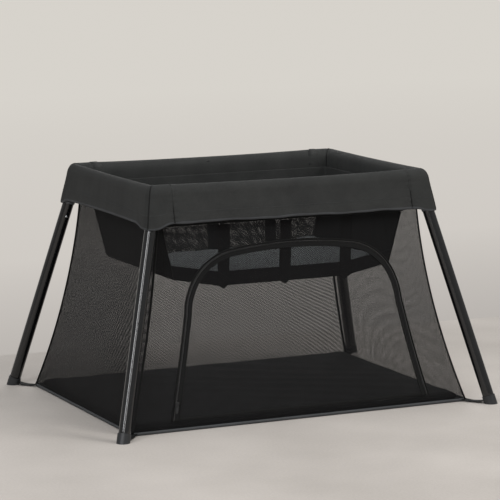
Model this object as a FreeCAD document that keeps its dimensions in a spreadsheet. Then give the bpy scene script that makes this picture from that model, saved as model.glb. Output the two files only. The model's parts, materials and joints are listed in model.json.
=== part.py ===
"""Folding playpen on four splayed legs, with a bassinet that hangs inside it.

Millimetres, +Z up. The origin is on the floor under the middle of the pen, X runs along the long side and
Y towards the back. The front is the long side with the zipped door. Each long rail is two halves that break
downwards at a hinge in the middle, so that the right end of the pen slides up to the left end.
"""
import FreeCAD, Part
import math
import os

V = FreeCAD.Vector
ALONG_X = FreeCAD.Rotation(V(0, 1, 0), 90)
ALONG_Y = FreeCAD.Rotation(V(1, 0, 0), -90)
UPRIGHT = FreeCAD.Rotation()
ENDS = (("left", -1), ("right", 1))
SIDES = (("front", -1), ("back", 1))

SIZES = (
    # the stance: where the legs turn and where they stand
    ("pen_height", 650, "floor to the crest of the padded rail"),
    ("foot_x", 550, "middle of the pen to a foot, along X"),
    ("foot_y", 422, "middle of the pen to a foot, along Y"),
    ("pivot_x", 398, "middle of the pen to a leg's pivot, along X"),
    ("pivot_y", 285, "middle of the pen to a leg's pivot, along Y"),
    ("pivot_drop", 44, "crest of the padded rail down to the leg pivots"),
    # the legs
    ("leg_d", 32, "outside of a leg tube"),
    ("leg_wall", 1.5, "wall of a leg tube"),
    ("hub_d", 26, "pivot eye of a leg head"),
    ("hub_w", 20, "width of a leg head's eye"),
    ("neck_d", 12, "arm between the eye and the shoulder"),
    ("shoulder_d", 26, "shoulder of a leg head"),
    ("shoulder_drop", 26, "pivot down to the shoulder, along the leg"),
    ("collar_drop", 66, "pivot down to the collar, along the leg"),
    ("collar_len", 8, "length of the collar"),
    ("collar_step", 1.5, "how far the collar stands out from the tube"),
    ("plug_len", 40, "how far a leg head reaches into its tube"),
    ("cap_len", 24, "height of a foot cap along the leg"),
    ("cap_wall", 2, "wall of a foot cap"),
    ("cap_sole", 6, "rubber under the tube's end"),
    # the corner brackets
    ("bracket_len", 42, "length of a bracket along X"),
    ("bracket_above", 28, "bracket above the leg pivot"),
    ("bracket_below", 16, "bracket below the leg pivot"),
    ("cheek", 5.5, "cheek outside the leg's slot"),
    ("ear", 5, "one ear of the rail's clevis"),
    ("stop_len", 7, "height of the shelf that stops the leg"),
    ("socket_depth", 14, "how far an end rail goes into a bracket"),
    ("pin_d", 8, "leg pivot pin"),
    ("pin_seat", 3.5, "pin held in the inner cheek"),
    ("rail_pin_d", 6, "rail pivot pin"),
    # the rails
    ("rail_d", 20, "outside of a rail tube"),
    ("rail_wall", 1.2, "wall of a rail tube"),
    ("rail_inset", 17, "leg pivots in to the long rails' centre lines"),
    ("rail_drop", 30, "crest of the padded rail down to the rails' centre line"),
    ("pin_reach", 15, "end of a bracket to the long rail's end pivot"),
    ("tongue_w", 12, "thickness of a rail's end tongue"),
    ("tongue_d", 19, "eye of a rail's end tongue"),
    ("tongue_len", 22, "end pivot to the end of the rail tube"),
    ("rail_plug", 20, "how far a fitting reaches into a rail tube"),
    ("hinge_play", 8.5, "room between the middle hinge's barrel and the cover's roof"),
    ("hinge_pin_d", 5, "middle hinge pin"),
    ("barrel_d", 12, "barrel of the middle hinge"),
    ("knuckle_len", 44, "middle hinge pin to the end of the rail tube"),
    ("knuckle_face", 8.5, "middle hinge pin to the knuckle's body"),
    ("blade_w", 7.8, "middle blade of the right knuckle"),
    ("button_d", 12, "lock button"),
    ("button_x", 26, "middle hinge pin to the lock button"),
    ("button_len", 13, "length of the lock button"),
    ("button_out", 6, "how far the lock button stands out"),
    ("button_well", 12, "depth of the lock button's well"),
    ("spring_d", 8, "spring behind the lock button"),
    ("spring_wire", 1, "wall of the spring's sleeve"),
    # the padded covers
    ("cover_height", 105, "crest of the cover down to its hem"),
    ("cover_skin", 3, "cloth and foam, outside"),
    ("cover_lining", 2.5, "cloth, inside"),
    ("cover_roof", 4, "cloth and foam over the rails"),
    ("cover_play", 1, "room between the cover and what is under it"),
    ("hem_play_x", 6.2, "a leg's collar at the hem's height out to the hem, along X"),
    ("hem_play_y", 7.7, "a leg's collar at the hem's height out to the hem, along Y"),
    ("lining_play_x", 7, "an end rail in to the lining"),
    ("lining_play_y", 5.5, "a long rail in to the lining"),
    ("seam_in", 7, "a long rail's end pivot in to the seam of the corner cover"),
    ("hem_round", 24, "corner radius of the cover outside"),
    ("lining_round", 12, "corner radius of the lining"),
    # the walls, the floor and the door
    ("wall_t", 1.5, "thickness of a mesh wall"),
    ("wall_lap", 11, "how far the walls reach up under the cover"),
    ("wall_play", 1.5, "room between an end wall's top edge and the lining"),
    ("wall_inset", 3.5, "leg pivots in to a long wall's top edge"),
    ("strap_run_x", 50, "a foot in to the floor's edge, along X"),
    ("strap_run_y", 58, "a foot in to the floor's edge, along Y"),
    ("floor_gap", 3, "air under the floor sheet"),
    ("floor_t", 3, "thickness of the floor sheet"),
    ("mattress_t", 16, "thickness of the play mattress"),
    ("mattress_edge", 10, "floor's edge in to the mattress"),
    ("door_foot", 378, "middle of the pen to the foot of the door"),
    ("door_sill", 22, "foot of the door above the floor sheet"),
    ("door_side", 322, "middle of the pen to the top of the door's straight side"),
    ("door_side_drop", 350, "crest of the padded rail down to the top of the door's straight side"),
    ("door_bend", 284, "middle of the pen to the middle of the door's bend"),
    ("door_bend_drop", 253, "crest of the padded rail down to the middle of the door's bend"),
    ("door_brow", 180, "middle of the pen to the end of the door's bend"),
    ("door_brow_drop", 193, "crest of the padded rail down to the end of the door's bend"),
    ("door_crown_drop", 180, "crest of the padded rail down to the door's crown"),
    ("tape_w", 26, "width of the zip's tape"),
    ("tape_t", 1.2, "thickness of the zip's tape"),
    ("slider_len", 16, "length of the zip's slider"),
    ("slider_w", 10, "width of the zip's slider"),
    ("slider_t", 5, "thickness of the zip's slider"),
    ("slider_up", 34, "slider above the foot of the door"),
    ("pull_len", 26, "length of the zip's pull"),
    ("pull_w", 7, "width of the zip's pull"),
    ("pull_t", 2.2, "thickness of the zip's pull"),
    ("strap_w", 24, "width of a corner strap"),
    ("strap_t", 1.6, "thickness of a corner strap"),
    ("strap_start", 13, "floor's corner to the start of its strap"),
    ("strap_end", 4, "end of a strap to the foot cap"),
    # the bassinet
    ("bassinet_top", 50, "crest of the padded rail down to the bassinet's rim"),
    ("bassinet_play", 4, "room between the bassinet's rim and the lining"),
    ("batter_x", 52, "how far an end panel leans in from its top to its foot"),
    ("batter_y", 13.5, "how far a side panel leans in from its top to its foot"),
    ("end_drop", 214, "bassinet's rim down to the foot of an end panel"),
    ("flat_drop", 240, "bassinet's rim down to the flat part of its bottom"),
    ("flat_x", 190, "half the flat part of the bassinet's bottom"),
    ("panel_t", 2, "thickness of the bassinet's panels"),
    ("band_height", 38, "solid band along the foot of the side panels"),
    ("board_t", 3, "stiffening board in the bassinet's bottom"),
    ("board_edge", 3, "room round the board"),
    ("pad_t", 18, "thickness of the bassinet's mattress"),
    ("pad_edge", 5, "room round the bassinet's mattress"),
    ("rim_height", 70, "height of the cloth band along the bassinet's rim"),
    ("web_w", 35, "width of a carrying web"),
    ("web_t", 1.5, "thickness of a carrying web"),
    ("web_pitch", 184, "spacing of the carrying webs"),
    # fits
    ("gap", 0.5, "clearance beside moving pieces"),
    ("pin_gap", 0.3, "clearance round a pin that turns"),
    ("open_gap", 0.6, "clearance round the back right rail pin"),
    ("press", 0.1, "clearance of a plug in its own tube"),
    ("cloth_gap", 0.4, "clearance between two pieces of cloth"),
)

doc = FreeCAD.newDocument("playpen")
sheet = doc.addObject("Spreadsheet::Sheet", "Sizes")
for row, (alias, value, meaning) in enumerate(SIZES, start=1):
    sheet.set(f"A{row}", meaning)
    sheet.set(f"B{row}", str(value))
    sheet.setAlias(f"B{row}", alias)
doc.recompute()

# Formulas on the sheet that several pieces share.
PIVOT_Z = "(Sizes.pen_height - Sizes.pivot_drop)"
RAIL_Z = "(Sizes.pen_height - Sizes.rail_drop)"
RAIL_Y = "(Sizes.pivot_y - Sizes.rail_inset)"
RAIL_PIN_X = "(Sizes.pivot_x - Sizes.bracket_len / 2 - Sizes.pin_reach)"
HINGE_Z = "(Sizes.pen_height - Sizes.cover_roof - Sizes.hinge_play - Sizes.barrel_d / 2)"
SPLAY_X = f"((Sizes.foot_x - Sizes.pivot_x) / {PIVOT_Z})"
SLOT_W = "(Sizes.hub_w + 2 * Sizes.gap)"
FORK_W = "(Sizes.tongue_w + 2 * Sizes.gap)"
BRACKET_IN = f"({RAIL_Y} - {FORK_W} / 2 - Sizes.ear)"
BRACKET_OUT = f"(Sizes.pivot_y + {SLOT_W} / 2 + Sizes.cheek)"
BRACKET_LOW = f"({PIVOT_Z} - Sizes.bracket_below)"
BRACKET_H = "(Sizes.bracket_above + Sizes.bracket_below)"
BORE_R = "(Sizes.rail_d / 2 - Sizes.rail_wall)"
PLUG_R = f"({BORE_R} - Sizes.press)"
KNUCKLE_TOP = f"({HINGE_Z} - Sizes.gap)"
KNUCKLE_H = f"({KNUCKLE_TOP} - {RAIL_Z} + Sizes.rail_d / 2)"

nodes = []


def size(alias):
    """A driving dimension from the sheet."""
    return float(sheet.get(alias))


def bind(piece, place, **formulas):
    """Binds a primitive's sizes and the three coordinates of its place to formulas on the sheet."""
    for name, formula in formulas.items():
        piece.setExpression(name, formula)
    for axis, formula in zip("xyz", place):
        piece.setExpression(f"Placement.Base.{axis}", formula)
    return piece


def box(centre, length, width, height):
    """A box about its centre."""
    piece = doc.addObject("Part::Box", "Block")
    low = [f"({at}) - ({side}) / 2" for at, side in zip(centre, (length, width, height))]
    return bind(piece, low, Length=length, Width=width, Height=height)


def rod(centre, radius, length, turn):
    """A cylinder about its centre, along X, Y or Z."""
    piece = doc.addObject("Part::Cylinder", "Rod")
    piece.Placement.Rotation = turn
    axis = turn.multVec(V(0, 0, 1))
    low = [f"({at}) - ({length}) * {round(part)} / 2" for at, part in zip(centre, axis)]
    return bind(piece, low, Radius=radius, Height=length)


def slant(start, direction, radius, length):
    """A cylinder from a point along a slanted line; its sizes are formulas."""
    piece = doc.addObject("Part::Cylinder", "Slant")
    piece.Placement = FreeCAD.Placement(start, FreeCAD.Rotation(V(0, 0, 1), direction))
    return bind(piece, (), Radius=radius, Height=length)


def fuse(*pieces):
    joined = doc.addObject("Part::MultiFuse", "Join")
    joined.Shapes = list(pieces)
    return joined


def cut(base, *tools):
    piece = doc.addObject("Part::Cut", "Trim")
    piece.Base = base
    piece.Tool = tools[0] if len(tools) == 1 else fuse(*tools)
    return piece


def common(base, tool):
    piece = doc.addObject("Part::Common", "Share")
    piece.Base = base
    piece.Tool = tool
    return piece


def group(*pieces):
    """Separate solids in one node."""
    held = doc.addObject("Part::Compound", "Group")
    held.Links = list(pieces)
    return held


def node(name, piece):
    piece.Label = name
    nodes.append(piece)
    return piece


def soft(name, shape):
    """A node whose shape the script works out, because no primitive has it."""
    piece = doc.addObject("Part::Feature", name)
    piece.Shape = shape
    return node(name, piece)


# ---------------------------------------------------------------- shapes of the soft goods


def rounded(half_x, half_y, radius, height):
    """A rectangle with round corners at one height, as a wire."""
    a, b = half_x - radius, half_y - radius
    edges = []
    for turn in range(4):
        angle = turn * math.pi / 2
        sx, sy = ((1, 1), (-1, 1), (-1, -1), (1, -1))[turn]
        middle = V(sx * a, sy * b, height)
        first, mid, last = (
            middle + V(math.cos(angle + part), math.sin(angle + part), 0) * radius
            for part in (0, math.pi / 4, math.pi / 2)
        )
        if edges:
            edges.append(Part.LineSegment(edges[-1].Vertexes[-1].Point, first).toShape())
        edges.append(Part.Arc(first, mid, last).toShape())
    edges.append(Part.LineSegment(edges[-1].Vertexes[-1].Point, edges[0].Vertexes[0].Point).toShape())
    return Part.Wire(edges)


def tower(levels, radius):
    """A solid through rounded rectangles, each (height, half along X, half along Y)."""
    return Part.makeLoft([rounded(x, y, radius, z) for z, x, y in levels], True, True)


def panel(points, thickness):
    """A flat panel: its outline's points, given anticlockwise as seen from outside, thickened inwards."""
    face = Part.Face(Part.makePolygon(points + points[:1]))
    return face.extrude(face.normalAt(0, 0) * -thickness)


def on_wall(u, height, out=0.0):
    """A point of the front wall's outer face, moved out along the wall's normal."""
    run, rise = floor_y - wall_top_y, wall_height
    steep = math.hypot(run, rise)
    y = floor_y - run * (height - wall_foot) / rise
    return V(u, -y - out * rise / steep, height + out * run / steep)


CREST = size("pen_height")
HEM = CREST - size("cover_height")
pivot_z = CREST - size("pivot_drop")
rail_y = size("pivot_y") - size("rail_inset")
rail_pin_x = size("pivot_x") - size("bracket_len") / 2 - size("pin_reach")

# How far the cover's outer face stands in from the hem, and its inner face out from the lining,
# at each drop below the crest.
OUTER_PROFILE = ((105, 0, 0), (50, 10, 13), (20, 14, 19), (8, 19, 26), (0, 26, 38))
INNER_PROFILE = ((105, 0, 0), (20, 1.5, 0.5), (8, 4, 2), (0, 18, 19.5))


def hem_half(axis):
    """Middle of the pen to the hem outside: clear of a leg's collar at the hem's height."""
    pivot, foot = size(f"pivot_{axis}"), size(f"foot_{axis}")
    leg_at_hem = pivot + (foot - pivot) * (pivot_z - HEM) / pivot_z
    return leg_at_hem + size("leg_d") / 2 + size("collar_step") + size(f"hem_play_{axis}")


def inset_at(drop):
    """How far the cover's outer face stands in from the hem along Y, at a drop below the crest."""
    for (low, _, low_in), (high, _, high_in) in zip(OUTER_PROFILE, OUTER_PROFILE[1:]):
        if low >= drop >= high:
            return low_in + (high_in - low_in) * (low - drop) / (low - high)


def hem_over_pins():
    """Middle of the pen to the hem, where the cover's inside just clears the outer ends of the leg pins."""
    pin_end = size("pivot_y") + size("hub_w") / 2 + size("gap") + size("cheek")
    pin_top = size("pivot_drop") - size("pin_d") / 2
    return pin_end + size("cover_play") + size("cover_skin") + inset_at(pin_top)


hem_x, hem_y = hem_half("x"), max(hem_half("y"), hem_over_pins())
inner_x = size("pivot_x") - size("rail_d") / 2 - size("lining_play_x")
inner_y = rail_y - size("rail_d") / 2 - size("lining_play_y")


def cover_faces(skin, lining, roof, floor):
    """The space between the cover's outer and inner face, moved in by a skin, a lining and a roof."""
    outer, inner = [], []
    for drop, in_x, in_y in OUTER_PROFILE:
        outer.append((drop, hem_x - in_x - skin, hem_y - in_y - skin))
    for drop, out_x, out_y in INNER_PROFILE:
        inner.append((drop, inner_x + out_x + lining, inner_y + out_y + lining))
    shrink = 1 - roof / size("cover_height")

    def levels(faces):
        found = [(CREST - roof - drop * shrink, x, y) for drop, x, y in faces]
        return [(floor, *found[0][1:])] + found[1:]

    outside = tower(levels(outer), size("hem_round") - skin)
    return outside.cut(tower(levels(inner), size("lining_round") + lining))


wall_foot = size("floor_gap") + size("floor_t") + size("cloth_gap")
wall_height = HEM + size("wall_lap") - wall_foot
wall_top_x = inner_x + size("cover_lining") + size("wall_play") + size("wall_t")
wall_top_y = size("pivot_y") - size("wall_inset")
floor_x = size("foot_x") - size("strap_run_x")
floor_y = size("foot_y") - size("strap_run_y")


# ---------------------------------------------------------------- the frame

# What the brackets may fill: the room under the cover, less its play.
room = doc.addObject("Part::Feature", "cover_room")
cloths = [size(layer) + size("cover_play") for layer in ("cover_skin", "cover_lining", "cover_roof")]
room.Shape = cover_faces(*cloths, HEM)


def bracket(sx, sy):
    """Corner bracket: a block with the leg's slot, the end rail's socket and the long rail's clevis."""
    middle_y = f"{sy} * ({BRACKET_OUT} + {BRACKET_IN}) / 2"
    block = box(
        (f"{sx} * Sizes.pivot_x", middle_y, f"{BRACKET_LOW} + {BRACKET_H} / 2"),
        "Sizes.bracket_len", f"{BRACKET_OUT} - {BRACKET_IN}", BRACKET_H,
    )
    ears = []
    for side in (-1, 1):
        ear_y = f"{sy} * {RAIL_Y} + {side} * ({FORK_W} + Sizes.ear) / 2"
        arm = f"(Sizes.pivot_x - {RAIL_PIN_X})"
        ears.append(box(
            (f"{sx} * ({RAIL_PIN_X} + {arm} / 2)", ear_y, RAIL_Z), arm, "Sizes.ear", "Sizes.tongue_d",
        ))
        ears.append(rod((f"{sx} * {RAIL_PIN_X}", ear_y, RAIL_Z), "Sizes.tongue_d / 2", "Sizes.ear", ALONG_Y))
    eye_reach = "(Sizes.hub_d / 2 + Sizes.gap)"
    shelf = f"({BRACKET_LOW} + Sizes.stop_len)"
    slot_top = f"({PIVOT_Z} + {eye_reach})"
    eye_slot = box(
        (f"{sx} * Sizes.pivot_x", f"{sy} * Sizes.pivot_y", f"({slot_top} + {shelf}) / 2"),
        f"2 * {eye_reach}", SLOT_W, f"{slot_top} - {shelf}",
    )
    at_pivot = (f"{sx} * Sizes.pivot_x", f"{sy} * Sizes.pivot_y", PIVOT_Z)
    eye_round = rod(at_pivot, eye_reach, SLOT_W, ALONG_Y)
    lean = f"(Sizes.bracket_below * {SPLAY_X} + Sizes.neck_d / 2 * sqrt(1 + {SPLAY_X} ^ 2) + Sizes.gap)"
    neck_slot = box(
        (f"{sx} * (Sizes.pivot_x + ({lean} - {eye_reach}) / 2)", f"{sy} * Sizes.pivot_y",
         f"{BRACKET_LOW} + Sizes.stop_len / 2"),
        f"{lean} + {eye_reach}", SLOT_W, "2 * Sizes.stop_len",
    )
    socket = rod(
        (f"{sx} * Sizes.pivot_x", f"{sy} * {BRACKET_IN}", RAIL_Z),
        "Sizes.rail_d / 2", "2 * Sizes.socket_depth", ALONG_Y,
    )
    return cut(
        common(fuse(block, *ears), room),
        eye_slot, eye_round, neck_slot, socket, leg_pin(sx, sy), rail_pin(sx, sy, "Sizes.rail_pin_d / 2"),
    )


def leg_pin(sx, sy):
    inner = f"(Sizes.pivot_y - {SLOT_W} / 2 - Sizes.pin_seat)"
    outer = f"({BRACKET_OUT} - Sizes.gap)"
    middle = (f"{sx} * Sizes.pivot_x", f"{sy} * ({inner} + {outer}) / 2", PIVOT_Z)
    return rod(middle, "Sizes.pin_d / 2", f"{outer} - {inner}", ALONG_Y)


def rail_pin(sx, sy, radius):
    length = f"({FORK_W} + 2 * Sizes.ear - 2 * Sizes.gap)"
    return rod((f"{sx} * {RAIL_PIN_X}", f"{sy} * {RAIL_Y}", RAIL_Z), radius, length, ALONG_Y)


for end, sx in ENDS:
    for side, sy in SIDES:
        node(f"bracket_{side}_{end}", bracket(sx, sy))
    node(f"pivot_pins_{end}", group(
        *(leg_pin(sx, sy) for _, sy in SIDES),
        *(rail_pin(sx, sy, "Sizes.rail_pin_d / 2") for _, sy in SIDES),
    ))
    end_rail_len = f"2 * ({BRACKET_IN} + Sizes.socket_depth)"
    end_rail_at = (f"{sx} * Sizes.pivot_x", "0", RAIL_Z)
    node(f"end_rail_{end}", cut(
        rod(end_rail_at, "Sizes.rail_d / 2", end_rail_len, ALONG_Y),
        rod(end_rail_at, BORE_R, f"{end_rail_len} + 2", ALONG_Y),
    ))


def legs():
    """Four legs, each a head that turns in its bracket, a tube and a foot cap cut flat at the floor."""
    tube_drop = size("collar_drop") + size("collar_len")
    for end, sx in ENDS:
        for side, sy in SIDES:
            pivot = V(sx * size("pivot_x"), sy * size("pivot_y"), pivot_z)
            foot = V(sx * size("foot_x"), sy * size("foot_y"), 0)
            down = (foot - pivot).normalize()
            reach = (foot - pivot).Length
            tube = f"({reach} - Sizes.collar_drop - Sizes.collar_len - Sizes.cap_sole)"
            start = pivot + down * tube_drop
            at_pivot = (f"{sx} * Sizes.pivot_x", f"{sy} * Sizes.pivot_y", PIVOT_Z)
            node(f"leg_head_{side}_{end}", cut(
                fuse(
                    rod(at_pivot, "Sizes.hub_d / 2", "Sizes.hub_w", ALONG_Y),
                    slant(pivot, down, "Sizes.neck_d / 2", "Sizes.shoulder_drop + 1"),
                    slant(pivot + down * size("shoulder_drop"), down, "Sizes.shoulder_d / 2",
                          "Sizes.collar_drop - Sizes.shoulder_drop"),
                    slant(pivot + down * size("collar_drop"), down, "Sizes.leg_d / 2 + Sizes.collar_step",
                          "Sizes.collar_len"),
                    slant(start, down, "Sizes.leg_d / 2 - Sizes.leg_wall - Sizes.press", "Sizes.plug_len"),
                ),
                rod(at_pivot, "Sizes.pin_d / 2 + Sizes.pin_gap", "2 * Sizes.hub_w", ALONG_Y),
            ))
            node(f"leg_tube_{side}_{end}", cut(
                slant(start, down, "Sizes.leg_d / 2", tube),
                slant(start - down, down, "Sizes.leg_d / 2 - Sizes.leg_wall", f"{tube} + 2"),
            ))
            cap_top = foot - down * size("cap_len")
            node(f"foot_cap_{side}_{end}", cut(
                slant(cap_top, down, "Sizes.leg_d / 2 + Sizes.cap_wall", "Sizes.cap_len + Sizes.leg_d"),
                slant(cap_top - down, down, "Sizes.leg_d / 2", "Sizes.cap_len - Sizes.cap_sole + 1"),
                box((str(foot.x), str(foot.y), "-2 * Sizes.leg_d"),
                    "6 * Sizes.leg_d", "6 * Sizes.leg_d", "4 * Sizes.leg_d"),
            ))


legs()


def along_rail(sx, sy, start, end, radius):
    """A round stretch of a long rail between two distances from the middle of the pen."""
    middle = (f"{sx} * ({start} + {end}) / 2", f"{sy} * {RAIL_Y}", RAIL_Z)
    return rod(middle, radius, f"{end} - {start}", ALONG_X)


def rail_tongue(sx, sy, clearance):
    """End fitting of a half rail: an eye on the bracket's pin, an arm and a plug in the tube."""
    tube_end = f"({RAIL_PIN_X} - Sizes.tongue_len)"
    at_pin = (f"{sx} * {RAIL_PIN_X}", f"{sy} * {RAIL_Y}", RAIL_Z)
    arm = box(
        (f"{sx} * ({RAIL_PIN_X} - Sizes.tongue_len / 2 + 1)", f"{sy} * {RAIL_Y}", RAIL_Z),
        "Sizes.tongue_len - 2", "Sizes.tongue_w", "Sizes.tongue_w",
    )
    return cut(
        fuse(
            rod(at_pin, "Sizes.tongue_d / 2", "Sizes.tongue_w", ALONG_Y),
            arm,
            along_rail(sx, sy, tube_end, f"({tube_end} + 4)", "Sizes.rail_d / 2"),
            along_rail(sx, sy, f"({tube_end} - Sizes.rail_plug)", tube_end, PLUG_R),
        ),
        rod(at_pin, f"Sizes.rail_pin_d / 2 + {clearance}", "2 * Sizes.tongue_w", ALONG_Y),
    )


def knuckle(sx, sy):
    """Half of a middle hinge. The left one has two ears and the lock button's well, the right one a blade."""
    front = "Sizes.knuckle_face"
    body = box(
        (f"{sx} * (Sizes.knuckle_len + {front}) / 2", f"{sy} * {RAIL_Y}", f"{KNUCKLE_TOP} - {KNUCKLE_H} / 2"),
        f"Sizes.knuckle_len - {front}", "Sizes.rail_d", KNUCKLE_H,
    )
    ear_w = "((Sizes.rail_d - Sizes.blade_w) / 2 - Sizes.gap)"
    if sx < 0:
        lugs = [(f"{side} * (Sizes.rail_d - {ear_w}) / 2", ear_w) for side in (-1, 1)]
    else:
        lugs = [("0", "Sizes.blade_w")]
    pieces = [body, along_rail(sx, sy, "Sizes.knuckle_len", "(Sizes.knuckle_len + Sizes.rail_plug)", PLUG_R)]
    for offset, width in lugs:
        lug_y = f"{sy} * {RAIL_Y} + {offset}"
        pieces.append(rod(("0", lug_y, HINGE_Z), "Sizes.barrel_d / 2", width, ALONG_Y))
        pieces.append(box(
            (f"{sx} * ({front} + 1) / 2", lug_y, f"{KNUCKLE_TOP} - Sizes.barrel_d / 4"),
            f"{front} + 1", width, "Sizes.barrel_d / 2",
        ))
    bore = "Sizes.hinge_pin_d / 2" if sx < 0 else "Sizes.hinge_pin_d / 2 + Sizes.pin_gap"
    holes = [rod(("0", f"{sy} * {RAIL_Y}", HINGE_Z), bore, "2 * Sizes.rail_d", ALONG_Y)]
    if sx < 0:
        underside = f"({KNUCKLE_TOP} - {KNUCKLE_H})"
        holes.append(rod(
            ("-Sizes.button_x", f"{sy} * {RAIL_Y}", underside),
            "Sizes.button_d / 2 + Sizes.pin_gap", "2 * Sizes.button_well", UPRIGHT,
        ))
    return cut(fuse(*pieces), *holes)


def lock(side, sy):
    """Lock button of a middle hinge, pushed up from under the rail, and the spring above it."""
    underside = f"({KNUCKLE_TOP} - {KNUCKLE_H})"
    place = ("-Sizes.button_x", f"{sy} * {RAIL_Y}")
    button_mid = f"{underside} - Sizes.button_out + Sizes.button_len / 2"
    node(f"lock_button_{side}", rod((*place, button_mid), "Sizes.button_d / 2", "Sizes.button_len", UPRIGHT))
    spring_len = "(Sizes.button_well + Sizes.button_out - Sizes.button_len)"
    spring_mid = f"{underside} + Sizes.button_well - {spring_len} / 2"
    node(f"lock_spring_{side}", cut(
        rod((*place, spring_mid), "Sizes.spring_d / 2", spring_len, UPRIGHT),
        rod((*place, spring_mid), "Sizes.spring_d / 2 - Sizes.spring_wire", f"{spring_len} + 2", UPRIGHT),
    ))


for side, sy in SIDES:
    for end, sx in ENDS:
        open_pivot = (side, end) == ("back", "right")
        play = "Sizes.open_gap" if open_pivot else "Sizes.pin_gap"
        tube_from = "Sizes.knuckle_len"
        tube_to = f"({RAIL_PIN_X} - Sizes.tongue_len)"
        node(f"{side}_rail_{end}", cut(
            along_rail(sx, sy, tube_from, tube_to, "Sizes.rail_d / 2"),
            along_rail(sx, sy, f"({tube_from} - 1)", f"({tube_to} + 1)", BORE_R),
        ))
        node(f"rail_tongue_{side}_{end}", rail_tongue(sx, sy, play))
        node(f"knuckle_{side}_{end}", knuckle(sx, sy))
    node(f"hinge_pin_{side}", rod(
        ("0", f"{sy} * {RAIL_Y}", HINGE_Z), "Sizes.hinge_pin_d / 2", "Sizes.rail_d", ALONG_Y,
    ))
    lock(side, sy)


# ---------------------------------------------------------------- the covers

cover = cover_faces(0, 0, 0, HEM).cut(
    cover_faces(size("cover_skin"), size("cover_lining"), size("cover_roof"), HEM - 1)
)


def between(low, high):
    """The space between two planes across X."""
    wide = 4 * size("foot_y")
    return Part.makeBox(high - low, wide, 2 * CREST, V(low, -wide / 2, 0))


seam = rail_pin_x - size("seam_in")
half_gap = size("cloth_gap") / 2
far = 2 * size("foot_x")
soft("cover_left", cover.common(between(-far, -seam - half_gap)))
soft("cover_right", cover.common(between(seam + half_gap, far)))
middle_cover = cover.common(between(-seam + half_gap, seam - half_gap))
for side, sy in SIDES:
    wide = 2 * size("foot_y")
    half = Part.makeBox(4 * seam, wide, 2 * CREST, V(-2 * seam, (sy - 1) / 2 * wide, 0))
    soft(f"cover_{side}", middle_cover.common(half))


# ---------------------------------------------------------------- the floor and the walls


def wall_corners(across, top_half, foot_half, face):
    """A leaning wall's four corners, anticlockwise from outside, on its outer face."""
    trim = 2 * size("wall_t")
    foot, top = foot_half - trim, top_half - trim
    low, high = wall_foot, wall_foot + wall_height
    at_low, at_high = face
    if across == "x":
        return [V(at_low, -foot, low), V(at_low, foot, low), V(at_high, top, high), V(at_high, -top, high)]
    return [V(foot, at_low, low), V(-foot, at_low, low), V(-top, at_high, high), V(top, at_high, high)]


def above_floor(wall):
    """A wall with its foot cut level, just above the floor sheet."""
    wide = 4 * size("foot_x")
    return wall.common(Part.makeBox(wide, wide, CREST, V(-wide / 2, -wide / 2, wall_foot)))


def turned(shape):
    """The same shape at the opposite side of the pen."""
    other = shape.copy()
    other.rotate(V(0, 0, 0), V(0, 0, 1), 180)
    return other


door_sill = wall_foot + size("door_sill")
# How much of an inset goes sideways and how much goes down, at each point of the door's arch.
ARCH_INSETS = {"side": (1, 0.25), "bend": (0.8, 0.6), "brow": (0.4, 0.95), "crown": (0, 1)}


def door_outline(inset, out=0.0):
    """The door's arch on the front wall, moved in by an inset: two straight sides, two bends and a crown."""

    def at(name, half):
        sideways, down = ARCH_INSETS[name]
        return on_wall(half - inset * sideways, CREST - size(f"door_{name}_drop") - inset * down, out)

    foot = on_wall(size("door_foot") - inset, door_sill, out)
    side = at("side", size("door_side"))
    bend = at("bend", size("door_bend"))
    brow = at("brow", size("door_brow"))
    crown = at("crown", 0)
    left = [V(-point.x, point.y, point.z) for point in (foot, side, bend, brow)]
    return Part.Wire([
        Part.LineSegment(foot, side).toShape(),
        Part.Arc(side, bend, brow).toShape(),
        Part.Arc(brow, crown, left[3]).toShape(),
        Part.Arc(left[3], left[2], left[1]).toShape(),
        Part.LineSegment(left[1], left[0]).toShape(),
    ])


def closed(wire):
    """An arch closed along its foot, as a face."""
    ends = [wire.Edges[-1].Vertexes[-1].Point, wire.Edges[0].Vertexes[0].Point]
    return Part.Face(Part.Wire(wire.Edges + [Part.LineSegment(*ends).toShape()]))


long_wall = above_floor(panel(
    wall_corners("y", wall_top_x, floor_x, (floor_y, wall_top_y)), size("wall_t")
))
end_wall = above_floor(panel(
    wall_corners("x", wall_top_y, floor_y, (floor_x, wall_top_x)), size("wall_t")
))
normal_out = on_wall(0, wall_foot, 1) - on_wall(0, wall_foot)
arch = closed(door_outline(0)).extrude(normal_out * -3 * size("wall_t"))
arch.translate(normal_out * size("wall_t"))
soft("wall_front", turned(long_wall).cut(arch))
soft("wall_back", long_wall)
soft("wall_right", end_wall)
soft("wall_left", turned(end_wall))

tape_half = size("tape_w") / 2
tape_out = size("cloth_gap")


def tape(outer_inset, inner_inset):
    """One half of the zip's tape, between two arches, proud of the wall."""
    ribbon = closed(door_outline(outer_inset, tape_out)).cut(closed(door_outline(inner_inset, tape_out)))
    return ribbon.extrude(normal_out * size("tape_t"))


soft("zip_tape", tape(-tape_half, 0))
door_mesh = closed(door_outline(size("cloth_gap"))).extrude(normal_out * -size("wall_t"))
soft("door_panel", Part.makeCompound([door_mesh, tape(size("cloth_gap"), tape_half)]))


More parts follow.
